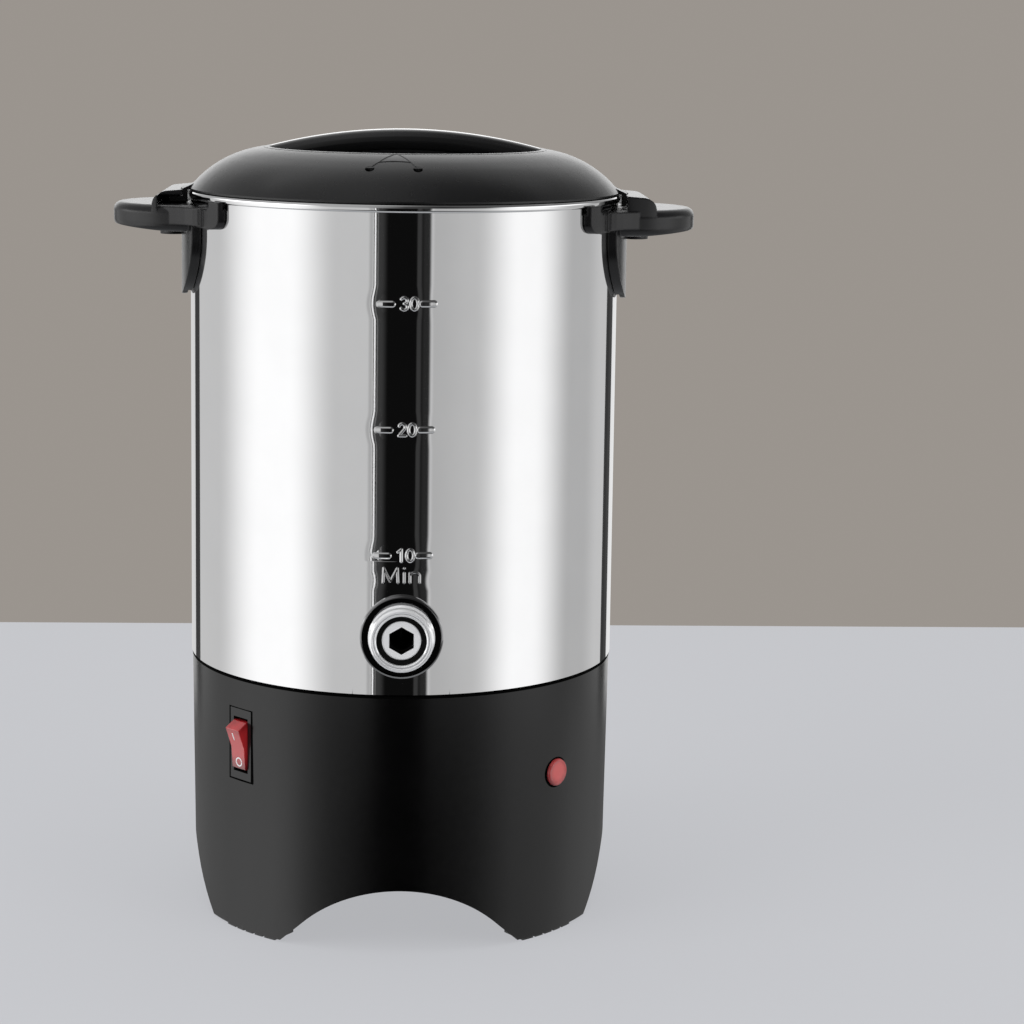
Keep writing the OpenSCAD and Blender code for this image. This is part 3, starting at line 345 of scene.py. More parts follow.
@dataclass(frozen=True)
class TurnedMetal(Finish):
    """Plated turned metal: fine rings round an axis that lies along Y at one height."""

    height: float = 0.0
    pitch: float = 0.00022

    def relief(self, book: Book, at: Val) -> Val:
        """Tool rings about the axis."""
        x, _, z = book.axes(at)
        return (x.hypot(z - self.height) * (2 * math.pi / self.pitch)).sin() * 2.5e-7


@dataclass(frozen=True)
class BoredMetal(TurnedMetal):
    """Turned metal whose bore, round the same axis, has painted shade: near black behind the face.
    """

    bore: float = 6.15 * MM
    face: float = -104.3 * MM

    def tint(self, book: Book, at: Val) -> Val:
        """The plain colour, and painted shade, near black, in the bore behind the face."""
        x, y, z = book.axes(at)
        radius = x.hypot(z - self.height)
        # painted shade: the bore behind the face is darkened in colour, not by light
        inside = (1 - radius.ease(self.bore, self.bore + 0.1 * MM)) * y.ease(
            self.face + 0.15 * MM, self.face + 0.5 * MM)
        return book.mixed(inside, super().tint(book, at), BORE_PAINTED_SHADE)


@dataclass(frozen=True)
class RoundedRing(Finish):
    """A ring about the tap port's axis whose front is crowned, from inner to outer edge."""

    height: float = PORT_Z
    middle: float = 16.1 * MM
    half: float = 1.8 * MM
    crown: float = 0.5 * MM

    def relief(self, book: Book, at: Val) -> Val:
        """crown (1 - t to the fourth), t the way out from the middle line over the half width."""
        x, _, z = book.axes(at)
        t = (x.hypot(z - self.height) - self.middle) * (1 / self.half)
        return (1 - t.most(0.0) ** 4.0) * self.crown


@dataclass(frozen=True)
class ThreadedMetal(Finish):
    """Zinc-plated fastener with its thread, cut along one axis."""

    axis: int = 2
    pitch: float = 0.0007
    depth: float = 6e-5

    def relief(self, book: Book, at: Val) -> Val:
        """Crests one pitch apart along the axis."""
        along = book.axes(at)[self.axis]
        return (along * (2 * math.pi / self.pitch)).sin() * self.depth


@dataclass(frozen=True)
class BrushedSheet(Finish):
    """Sheet or spun metal with turned lines round the tank's axis."""

    pitch: float = 0.0005

    def relief(self, book: Book, at: Val) -> Val:
        """Spun lines: fine steps in radius and height."""
        x, y, z = book.axes(at)
        both = (x.hypot(y) + z) * (1 / self.pitch)
        line = book.node("ShaderNodeTexNoise", {"noise_dimensions": "1D"}, {
            "W": both, "Scale": 1.0, "Detail": 2.0})
        return line * 3e-6


@dataclass(frozen=True)
class SheathMetal(Finish):
    """Oxidised heater sheath or plate, blotched by heat."""

    hot: Colour = (0.16, 0.12, 0.10)

    def tint(self, book: Book, at: Val) -> Val:
        """The metal, browned in blotches."""
        share = book.noise(at, 90.0, 4.0).ease(0.42, 0.66)
        return book.mixed(share, self.colour, self.hot)


@dataclass(frozen=True)
class BraidedSleeve(Finish):
    """Glass-fibre sleeve: a crossed braid."""

    def relief(self, book: Book, at: Val) -> Val:
        """Two sets of strands that cross."""
        x, y, z = book.axes(at)
        a = ((x + y + z) * 6000.0).sin()
        b = ((x + y - z) * 6000.0).sin()
        return a.most(b) * 4e-5


@dataclass(frozen=True)
class ClearRed(Finish):
    """Tinted clear plastic: deep where it is thick, with faint moulding ribs inside."""

    deep: Colour = (0.12, 0.004, 0.006)
    ribs: float = 0.0
    rib_pitch: float = 1.1 * MM
    middle: Triple = (0.0, 0.0, 0.0)
    reach: float = 0.008

    def tint(self, book: Book, at: Val) -> Val:
        """Lighter about the middle of the piece and deeper at its edges."""
        gap = book.node("ShaderNodeVectorMath", {"operation": "DISTANCE"},
                        {0: at, 1: self.middle}, out="Value")
        cloud = book.noise(at, 260.0, 2.0) * 0.3
        share = (gap * (1 / self.reach) + cloud - 0.15).ease(0.35, 1.0)
        return book.mixed(share, self.colour, self.deep)

    def relief(self, book: Book, at: Val) -> Val:
        """Fine ribs behind the face, faint from outside."""
        return (book.axes(at)[2] * (2 * math.pi / self.rib_pitch)).sin() * self.ribs


STEEL = MirrorSteel("mirror_steel", (0.86, 0.86, 0.865), 0.035, metallic=1.0, mottle=0.01,
                    grain=0.0)
HANDLE = MouldedPlastic("handle_phenolic", (0.0060, 0.0058, 0.0063), 0.25, grain=1.0e-6,
                        edge=1.1 * MM, mottle=0.12)
LID = MouldedPlastic("lid_satin", (0.0050, 0.0050, 0.0052), 0.26, grain=1.0e-6, mottle=0.1)
BASE = MouldedPlastic("base_satin", (0.0016, 0.0015, 0.0016), 0.20, grain=8e-7, mottle=0.15,
                      scuff_top=0.004)
GRIP = MouldedPlastic("grip_gloss", (0.006, 0.006, 0.0062), 0.16, grain=4e-7, coat=0.4,
                      coat_roughness=0.06)
CHROME = TurnedMetal("port_chrome", (0.95, 0.95, 0.955), 0.11, metallic=0.5, mottle=0.02,
                     grain=1e-7, rough_swing=0.02, height=PORT_Z)
NIPPLE = BoredMetal("port_nipple_satin", (0.96, 0.96, 0.965), 0.38, metallic=0.2, mottle=0.03,
                     grain=2e-7, rough_swing=0.03, height=PORT_Z)
WASHER = RoundedRing("port_washer_gloss", (0.34, 0.34, 0.345), 0.07, metallic=1.0, grain=1e-7,
                     mottle=0.1, rough_swing=0.02)
# matt black with almost no gloss: the base's dark joint, and the painted shadow strips round the
# switch's bezel and round the lens
JOINT_AND_SHADOW_BLACK = Finish("joint_and_painted_shadow_black", (0.0008, 0.0008, 0.0008), 0.8, ior=1.1, mottle=0.2)
RUBBER = Finish("seal_rubber", (0.011, 0.011, 0.0115), 0.36, grain=2e-6, mottle=0.2, coat=0.15,
                coat_roughness=0.2)
SEAL = Finish("port_seal_black", (0.0035, 0.0035, 0.0036), 0.5, ior=1.25, mottle=0.2)
SILICONE = Finish("silicone_red", (0.32, 0.035, 0.025), 0.5, mottle=0.12)
SWITCH_BLACK = MouldedPlastic("switch_housing_gloss", (0.009, 0.009, 0.0095), 0.2, grain=6e-7)
ROCKER = ClearRed("rocker_red", (0.58, 0.030, 0.034), 0.16, coat=0.3, coat_roughness=0.05,
                  transmission=0.08, grain=2e-7, ribs=1.5e-6,
                  middle=(-0.0700, -0.0646, 0.0862), reach=0.014)
LENS = ClearRed("lens_red", (0.76, 0.115, 0.11), 0.12, coat=0.7, coat_roughness=0.03,
                transmission=0.12, grain=2e-7, ribs=2e-6, deep=(0.20, 0.008, 0.012),
                middle=(0.0694, -0.0670, 0.0742), reach=0.0075)
ZINC = Finish("zinc_plate", (0.60, 0.61, 0.63), 0.32, metallic=1.0, mottle=0.14,
              mottle_scale=420.0)
THREAD_UP = ThreadedMetal("zinc_thread_upright", (0.60, 0.61, 0.63), 0.3, metallic=1.0)
THREAD_SIDE = ThreadedMetal("zinc_thread_sideways", (0.60, 0.61, 0.63), 0.3, metallic=1.0, axis=0)
BRASS = Finish("brass_turned", (0.66, 0.46, 0.17), 0.28, metallic=1.0, mottle=0.1,
               mottle_scale=300.0)
GLASS = Finish("lamp_glass", (0.93, 0.72, 0.58), 0.06, transmission=0.9, ior=1.46, mottle=0.02)
SHEATH = SheathMetal("element_sheath", (0.22, 0.215, 0.21), 0.42, metallic=1.0)
CAST = SheathMetal("cast_aluminium", (0.62, 0.62, 0.63), 0.45, metallic=1.0, grain=9e-6,
                   grain_scale=900.0, hot=(0.52, 0.50, 0.47))
SPUN = BrushedSheet("spun_aluminium", (0.74, 0.745, 0.75), 0.3, metallic=1.0, mottle=0.03,
                    grain=4e-7)
SLEEVE = BraidedSleeve("fuse_sleeve", (0.70, 0.66, 0.56), 0.8)
BLOCK = Finish("block_white", (0.74, 0.73, 0.70), 0.45, mottle=0.04)
MARK_WHITE = Finish("printed_white", (0.95, 0.945, 0.94), 0.5, mottle=0.05, grain=1e-6)

BY_SLOT: dict[str, Finish] = {
    "tank_steel": STEEL, "handle_black": HANDLE, "lid_black": LID, "grip_gloss": GRIP,
    "collar_chrome": CHROME, "seal_rubber": RUBBER, "silicone_red": SILICONE,
    "base_black": BASE, "zinc_steel": ZINC, "brass": BRASS, "switch_black": SWITCH_BLACK,
    "switch_red": ROCKER, "lens_red": LENS, "lamp_glass": GLASS, "element_sheath": SHEATH,
    "aluminium": CAST, "fuse_sleeve": SLEEVE, "block_white": BLOCK, "basket_metal": SPUN}
BY_NODE: dict[str, Finish] = {
    "tank_studs": THREAD_UP, "base_plate_screws": THREAD_UP, "lid_grip_screws": THREAD_UP,
    "bridge_screws": THREAD_UP, "handle_screws": THREAD_SIDE, "port_nipple": NIPPLE,
    "port_washer": WASHER, "port_seal_ring": SEAL}


class Wardrobe:
    """Makes each finish's material once and puts it on objects."""

    def __init__(self) -> None:
        """Starts with no material made."""
        self.made: dict[str, bpy.types.Material] = {}

    def of(self, finish: Finish) -> bpy.types.Material:
        """The finish's material, made the first time it is asked for."""
        if finish.name not in self.made:
            self.made[finish.name] = finish.material()
        return self.made[finish.name]

    def dress(self, thing: bpy.types.Object, finish: Finish) -> None:
        """Puts the finish on every slot of the object."""
        thing.data.materials.clear()
        thing.data.materials.append(self.of(finish))
        LOG.info("%s: %s", thing.name, finish.name)

    def dress_nodes(self) -> None:
        """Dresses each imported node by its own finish, or by its material slot's."""
        for part in frame["record"]["subparts"]:
            node = part["node"]
            finish = BY_NODE.get(node) or BY_SLOT[part["material_slot"]]
            self.dress(frame["nodes"][node], finish)


# ------------------------------------------------------------------ surfaces
def grid_faces(rows: int, columns: int, around: bool = False) -> np.ndarray:
    """Quads of a grid of points, row by row.

    Args:
        rows: number of rows of points.
        columns: number of points in a row.
        around: joins the last column to the first.

    Returns:
        An array of four point numbers a quad, wound so that rows x columns points outwards.
    """
    wide = columns if around else columns - 1
    i, j = np.meshgrid(np.arange(rows - 1), np.arange(wide), indexing="ij")
    a, b = i * columns + j, i * columns + (j + 1) % columns
    return np.stack([a, b, b + columns, a + columns], -1).reshape(-1, 4)


def mesh_object(name: str, points: np.ndarray, faces: np.ndarray | list[list[int]],
                smooth: bool = True) -> bpy.types.Object:
    """A mesh object at the origin.

    Args:
        name: the piece's name.
        points: positions in metres, one row a point.
        faces: faces as point numbers.
        smooth: shades the faces smooth.

    Returns:
        The object, linked to the scene.
    """
    mesh = bpy.data.meshes.new(name)
    mesh.from_pydata(points.reshape(-1, 3).tolist(), [], [list(f) for f in faces])
    mesh.validate()
    mesh.polygons.foreach_set("use_smooth", np.full(len(mesh.polygons), smooth))
    mesh.update()
    made = bpy.data.objects.new(name, mesh)
    bpy.context.scene.collection.objects.link(made)
    return made


def strip(ring: np.ndarray, count: int) -> np.ndarray:
    """Quads that join a closed ring of point numbers to the same ring count numbers on."""
    after = np.roll(ring, -1)
    return np.stack([ring, ring + count, after + count, after], -1)


def closed_shell(name: str, outer: np.ndarray, inner: np.ndarray, hole: bool = False
                 ) -> bpy.types.Object:
    """A closed sheet between two grids of the same shape.

    The outer grid's quads face out, the inner grid's are turned round, and strips of quads join
    the two along the border.

    Args:
        name: the piece's name.
        outer: outer points, rows x columns x 3.
        inner: inner points, likewise.
        hole: the rows are rings from a hole outwards, anticlockwise as seen from outside.

    Returns:
        The object.
    """
    rows, columns = outer.shape[:2]
    count = rows * columns
    number = np.arange(count).reshape(rows, columns)
    if hole:
        front = grid_faces(rows, columns, around=True)[:, ::-1]
        sides = np.concatenate([strip(number[0], count)[:, ::-1], strip(number[-1], count)])
    else:
        front = grid_faces(rows, columns)
        sides = strip(np.concatenate([number[0, :-1], number[:-1, -1], number[-1, :0:-1],
                                      number[:0:-1, 0]]), count)
    points = np.concatenate([outer.reshape(-1, 3), inner.reshape(-1, 3)])
    return mesh_object(name, points, np.concatenate([front, front[:, ::-1] + count, sides]))


def swept_faces(corners: int, steps: int) -> np.ndarray:
    """Quads of a closed section of some corners, swept in steps round a full turn."""
    return grid_faces(corners + 1, steps, around=True) % (corners * steps)


def grid_normals(points: np.ndarray) -> np.ndarray:
    """Unit normals of a grid: the cross product of its column and row differences.

    Args:
        points: rows x columns x 3.

    Returns:
        One normal a point, row by row.
    """
    along = np.gradient(points, axis=1, edge_order=2)
    up = np.gradient(points, axis=0)
    cross = np.cross(along, up)
    return (cross / np.linalg.norm(cross, axis=-1, keepdims=True)).reshape(-1, 3)


def on_tank(azimuth: np.ndarray, z: np.ndarray, radius: np.ndarray | float) -> np.ndarray:
    """Points at (r sin a, -r cos a, z), a the azimuth in degrees."""
    a = np.radians(azimuth)
    r = np.broadcast_to(radius, a.shape)
    return np.stack([r * np.sin(a), -r * np.cos(a), np.broadcast_to(z, a.shape)], -1)


def out_from(azimuth: float, x: np.ndarray, far: np.ndarray, up: np.ndarray) -> np.ndarray:
    """Millimetres across, out and up at an azimuth a, to metres in the shared frame.

    The point is (x cos a + far sin a, x sin a - far cos a, up).

    Args:
        azimuth: degrees from the front.
        x: across, to the right as seen from outside.
        far: out from the tank's axis.
        up: above the standing plane.

    Returns:
        The points.
    """
    c, s = math.cos(math.radians(azimuth)), math.sin(math.radians(azimuth))
    return np.stack([x * c + far * s, x * s - far * c, up], -1) * MM


def to_strokes(u: np.ndarray, v: np.ndarray, strokes: list[np.ndarray]) -> np.ndarray:
    """Distance from each point to the nearest stroke, all in the same flat units.

    For each straight piece of each stroke the nearest point is p + t d with t the projection,
    clipped to 0..1; the least of the distances is kept.

    Args:
        u: first coordinate of the points.
        v: second coordinate of the points.
        strokes: polylines, each an array of points.

    Returns:
        The distances, shaped as u.
    """
    best = np.full(u.shape, np.inf)
    for line in strokes:
        for (px, py), (qx, qy) in zip(line[:-1], line[1:]):
            dx, dy = qx - px, qy - py
            t = np.clip(((u - px) * dx + (v - py) * dy) / (dx * dx + dy * dy), 0, 1)
            best = np.minimum(best, np.hypot(u - px - t * dx, v - py - t * dy))
    return best


def arc(cx: float, cy: float, rx: float, ry: float, start: float, stop: float,
        steps: int = 14) -> np.ndarray:
    """An elliptic arc from start to stop degrees, as a polyline."""
    a = np.radians(np.linspace(start, stop, steps))
    return np.stack([cx + rx * np.cos(a), cy + ry * np.sin(a)], -1)


class Glyph(Enum):
    """The characters that are pressed into the wall."""

    ZERO = "0"
    ONE = "1"
    TWO = "2"
    THREE = "3"

    def moved(self, u: float, v: float) -> list[np.ndarray]:
        """The character's strokes, moved to (u, v)."""
        return [line + (u, v) for line in STROKES[self]]


# the strokes of each character, in millimetres about its middle
STROKES: dict[Glyph, tuple[np.ndarray, ...]] = {
    Glyph.ZERO: (arc(0, 0, 1.5, 2.55, 0, 360, 25),),
    Glyph.ONE: (np.array([(-1.0, 1.4), (0.5, 2.6), (0.5, -2.6)]),),
    Glyph.TWO: (np.concatenate([arc(0, 1.15, 1.3, 1.4, 165, -38),
                                [(-1.35, -2.55), (1.5, -2.55)]]),),
    Glyph.THREE: (arc(-0.1, 1.3, 1.25, 1.25, 150, -85), arc(-0.1, -1.25, 1.4, 1.35, 85, -150))}


def level_strokes(first: Glyph, z: float, shift: float) -> list[np.ndarray]:
    """The two digits of one level, in millimetres along and up the wall."""
    return first.moved(shift - 0.1, z) + Glyph.ZERO.moved(shift + 4.1, z)


def min_strokes(z: float, shift: float) -> list[np.ndarray]:
    """The word that marks the least level, in millimetres along and up the wall."""
    s = shift
    m = np.array([(s - 7.9, z - 3.1), (s - 7.7, z + 3.1), (s - 4.9, z - 2.6), (s - 2.0, z + 3.1),
                  (s - 1.7, z - 3.1)])
    i = np.array([(s + 0.9, z - 3.1), (s + 0.9, z + 1.1)])
    dot = np.array([(s + 0.9, z + 3.0), (s + 0.9, z + 3.1)])
    stem = np.array([(s + 3.3, z - 3.1), (s + 3.3, z + 1.1)])
    n = np.concatenate([arc(s + 5.3, z - 0.5, 2.0, 1.8, 155, 0), [(s + 7.3, z - 3.1)]])
    return [m, i, dot, stem, n]


# ------------------------------------------------------------------ sub-assemblies
@dataclass
class TankSkin:
    """The polished outer face of the tank's wall, with the level marks pressed into it."""

    low: float = 115.6 * MM
    high: float = 321.4 * MM
    proud: float = 0.05 * MM
    depth: float = 0.35 * MM
    window: float = 12.5
    window_low: float = 158.5 * MM
    window_high: float = 291.0 * MM
    port_r: float = 14.0 * MM
    press: float = 0.27
    min_z: float = 167.6
    fine: float = 0.21
    coarse: float = 2.4
    levels: tuple[tuple[Glyph, float, float], ...] = (
        (Glyph.THREE, 283.0, 0.1), (Glyph.TWO, 229.9, -0.4), (Glyph.ONE, 176.2, -0.8))

    def height(self, u: np.ndarray, v: np.ndarray) -> np.ndarray:
        """How far the press pushes the wall out at a place, in millimetres.

        A stroke is flat to its half width f and falls off as press (1 - t squared) squared, with
        t = (d - f) / (w - f) and d the distance from its line. Round each level the wall also
        swells or sinks by hump (1 - e squared) squared, e the distance from the middle of the
        swell over its half axes, which end inside the window.

        Args:
            u: millimetres along the wall from the front.
            v: millimetres above the standing plane.

        Returns:
            The rise, shaped as u.
        """
        rise = np.zeros_like(u)
        for glyph, z, shift in self.levels:
            near = np.abs(v - z) < 7
            across = u[near] - shift
            thin = to_strokes(u[near], v[near], level_strokes(glyph, z, shift))
            dashes = [np.array([(shift - 10.4, z - 0.2), (shift - 5.0, z - 0.2)]),
                      np.array([(shift + 7.4, z), (shift + 12.4, z)])]
            wide = to_strokes(u[near], v[near], dashes)
            fade = np.clip((across + 12.2) / 3.0, 0, 1)
            for gap, flat, w, tall in ((thin, 0.12, 0.62, self.press),
                                       (wide, 0.75, 1.45, self.press * 1.5 * fade)):
                t = np.clip((gap - flat) / (w - flat), 0, 1)
                rise[near] = np.maximum(rise[near], tall * (1 - t * t) ** 2)
            rise -= 0.11 * self.swell(u - shift + 7.0, v - z, 12.8, 7.4)
            rise += 0.06 * self.swell(u - shift - 9.5, v - z, 11.0, 7.8)
        near = np.abs(v - self.min_z) < 6
        word = to_strokes(u[near], v[near], min_strokes(self.min_z, 0.0))
        t = np.clip(word / 0.62, 0, 1)
        rise[near] = np.maximum(rise[near], self.press * 0.6 * (1 - t * t) ** 2)
        return rise + 0.09 * self.swell(u, v - 165.3, 15.0, 6.4)

    @staticmethod
    def swell(u: np.ndarray, v: np.ndarray, wide: float, tall: float) -> np.ndarray:
        """(1 - e squared) squared inside the ellipse with the given half axes, 0 outside."""
        return np.clip(1 - (u / wide) ** 2 - (v / tall) ** 2, 0, 1) ** 2

    def panel(self, dress: Wardrobe) -> None:
        """The strip of wall that carries the marks: rows lie close where a mark is."""
        u = np.linspace(-self.window, self.window, 190)
        rows = [np.arange(z - 4.6, z + 4.6, self.fine) for _, z, _ in self.levels]
        rows += [np.arange(162.6, 172.0, self.fine),
                 np.arange(self.window_low / MM, self.window_high / MM, self.coarse)]
        v = np.unique(np.round(np.concatenate([*rows, [self.window_high / MM]]), 2))
        v = v[np.concatenate([[True], np.diff(v) > 0.08])]
        v[-1] = self.window_high / MM
        a, z = np.meshgrid(u, v)
        rise = self.height(np.radians(a) * TANK_R / MM, z) * MM
        self.wall("tank_level_panel", a, z * MM, dress, rise)

    def sleeve(self, dress: Wardrobe) -> None:
        """The wall round the back, and the wall above the strip of marks."""
        for name, start, stop, steps, low, rows in (
                ("tank_skin_round", self.window, 360 - self.window, 560, self.low, 10),
                ("tank_skin_top", -self.window, self.window, 50, self.window_high, 6)):
            a, z = np.meshgrid(np.linspace(start, stop, steps), np.linspace(low, self.high, rows))
            self.wall(name, a, z, dress)

    def port_sheet(self, dress: Wardrobe) -> None:
        """The wall below the marks, cut round by the port's hole.

        Points run from the hole to the border of the sheet: (1 - t) times the circle plus t times
        the rectangle's border at the same angle, laid on the cylinder.
        """
        angle = np.linspace(0, 2 * math.pi, 121)[:-1]
        c, s = np.cos(angle), np.sin(angle)
        up, down = self.window_low - PORT_Z, PORT_Z - self.low
        with np.errstate(divide="ignore"):
            border = np.minimum(math.radians(self.window) * TANK_R / np.abs(c),
                                np.where(s > 0, up, down) / np.abs(s))
        t = np.linspace(0, 1, 12)[:, None]
        reach = self.port_r * (1 - t) + border * t
        a = np.degrees(reach * c / TANK_R)
        self.wall("tank_skin_port", a, PORT_Z + reach * s, dress, hole=True)

    def wall(self, name: str, azimuth: np.ndarray, z: np.ndarray, dress: Wardrobe,
             rise: np.ndarray | float = 0.0, hole: bool = False) -> None:
        """One closed piece of polished wall, whose outer points get their own normals.

        Args:
            name: the piece's name.
            azimuth: a grid of azimuths in degrees.
            z: the grid's heights in metres.
            dress: the wardrobe.
            rise: how far the outer points stand out, in metres.
            hole: the grid's rows are rings round a hole; its normals are the cylinder's.
        """
        out = on_tank(azimuth, z, TANK_R + self.proud + rise)
        made = closed_shell(name, out, on_tank(azimuth, z, TANK_R - self.depth), hole)
        normals = on_tank(azimuth, 0.0, 1.0).reshape(-1, 3) if hole else grid_normals(out)
        mesh = made.data
        every = np.zeros(len(mesh.vertices) * 3, np.float32)
        mesh.vertices.foreach_get("normal", every)
        every = every.reshape(-1, 3)
        every[:len(normals)] = normals
        mesh.normals_split_custom_set_from_vertices(every.tolist())
        dress.dress(made, STEEL)
        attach(made, "root")

    def build(self, dress: Wardrobe) -> None:
        """Builds the strip of marks and the sheets round it."""
        self.panel(dress)
        self.sleeve(dress)
        self.port_sheet(dress)


@dataclass
class TankBead:
    """The rolled bead at the tank's rim, and the dark joint under the tank's foot."""

    middle_r: float = 95.5 * MM
    middle_z: float = 322.5 * MM
    wide: float = 1.42 * MM
    tall: float = 1.7 * MM
    joint: tuple[float, float, float, float] = (95.2 * MM, 95.72 * MM, 113.9 * MM, 115.0 * MM)

    @staticmethod
    def sweep(name: str, r: np.ndarray, z: np.ndarray, steps: int, smooth: bool = True
              ) -> bpy.types.Object:
        """Sweeps a closed section of (r, z) corners, in metres, round the tank's axis."""
        at, _ = np.meshgrid(np.linspace(0, 360, steps + 1)[:-1], r)
        points = on_tank(at, z[:, None], r[:, None])
        return mesh_object(name, points, swept_faces(len(r), steps), smooth)

    def band(self, dress: Wardrobe) -> None:
        """A thin matt ring of rectangular section on the base's upper edge."""
        low, far, bottom, top = self.joint
        made = self.sweep("base_joint_ring", np.array([far, far, low, low]),
                          np.array([bottom, top, top, bottom]), 360, smooth=False)
        dress.dress(made, JOINT_AND_SHADOW_BLACK)
        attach(made, "root")

    def build(self, dress: Wardrobe) -> None:
        """Sweeps a squarish ellipse round the tank.

        Its points are r + w |cos t|^0.7 out and z + h |sin t|^0.7 up, each with its sign.
        """
        t = np.linspace(0, 2 * math.pi, 57)[:-1]
        wave, rise = (np.sign(f) * np.abs(f) ** 0.7 for f in (np.cos(t), np.sin(t)))
        made = self.sweep("tank_rim_bead", self.middle_r + self.wide * wave,
                          self.middle_z + self.tall * rise, 540)
        dress.dress(made, STEEL)
        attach(made, "root")


@dataclass
class LidMark:
    """The raised outline triangle over the lid's steam vents, which points at the grip."""

    dome_r: float = 49.0
    dome_x: float = 58.0
    dome_z: float = 294.86
    azimuth: float = -3.5
    half: float = 0.45
    rise: float = 0.32
    sink: float = 0.06
    thick: float = 0.5

    def dome(self, r: np.ndarray) -> np.ndarray:
        """Height of the dome at radius r: its centre's height plus the circle's, millimetres."""
        return self.dome_z + np.sqrt(self.dome_r ** 2 - (r - self.dome_x) ** 2)

    def build(self, dress: Wardrobe) -> None:
        """Presses the outline as a fine sheet on the dome.

        The sheet is a grid in azimuth and radius; a point is raised along the dome's normal by
        rise (1 - (d / half) squared) squared less a small sink, d the distance from the lines.
        """
        span = np.linspace(-14.5, 14.5, 150)
        reach = np.linspace(61.9, 80.4, 118)
        u, r = np.meshgrid(span, reach)
        ends = [(-9.1, 79.0), (-6.9, 75.6), (0.0, 62.9), (6.9, 75.3), (9.1, 78.9)]
        left, low, top, right, far = (np.array(p) for p in ends)
        t = np.linspace(0, 1, 9)[:, None]
        base = low * (1 - t) + right * t + np.concatenate([0 * t, 1.1 * 4 * t * (1 - t)], 1) * -1
        lines = [np.array([left, low, top]), np.array([top, right, far]), base]
        gap = np.clip(to_strokes(u, r, lines) / self.half, 0, 1)
        lift = self.rise * (1 - gap * gap) ** 2 - self.sink
        nr, nz = (r - self.dome_x) / self.dome_r, (self.dome(r) - self.dome_z) / self.dome_r
        a = self.azimuth + np.degrees(u / r)
        out = on_tank(a, (self.dome(r) + lift * nz) * MM, (r + lift * nr) * MM)
        back = on_tank(a, (self.dome(r) - self.thick * nz) * MM, (r - self.thick * nr) * MM)
        # rows run outwards along the dome, so the grid is turned to face out
        made = closed_shell("lid_triangle_mark", out[::-1], back[::-1])
        dress.dress(made, LID)
        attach(made, "lid")


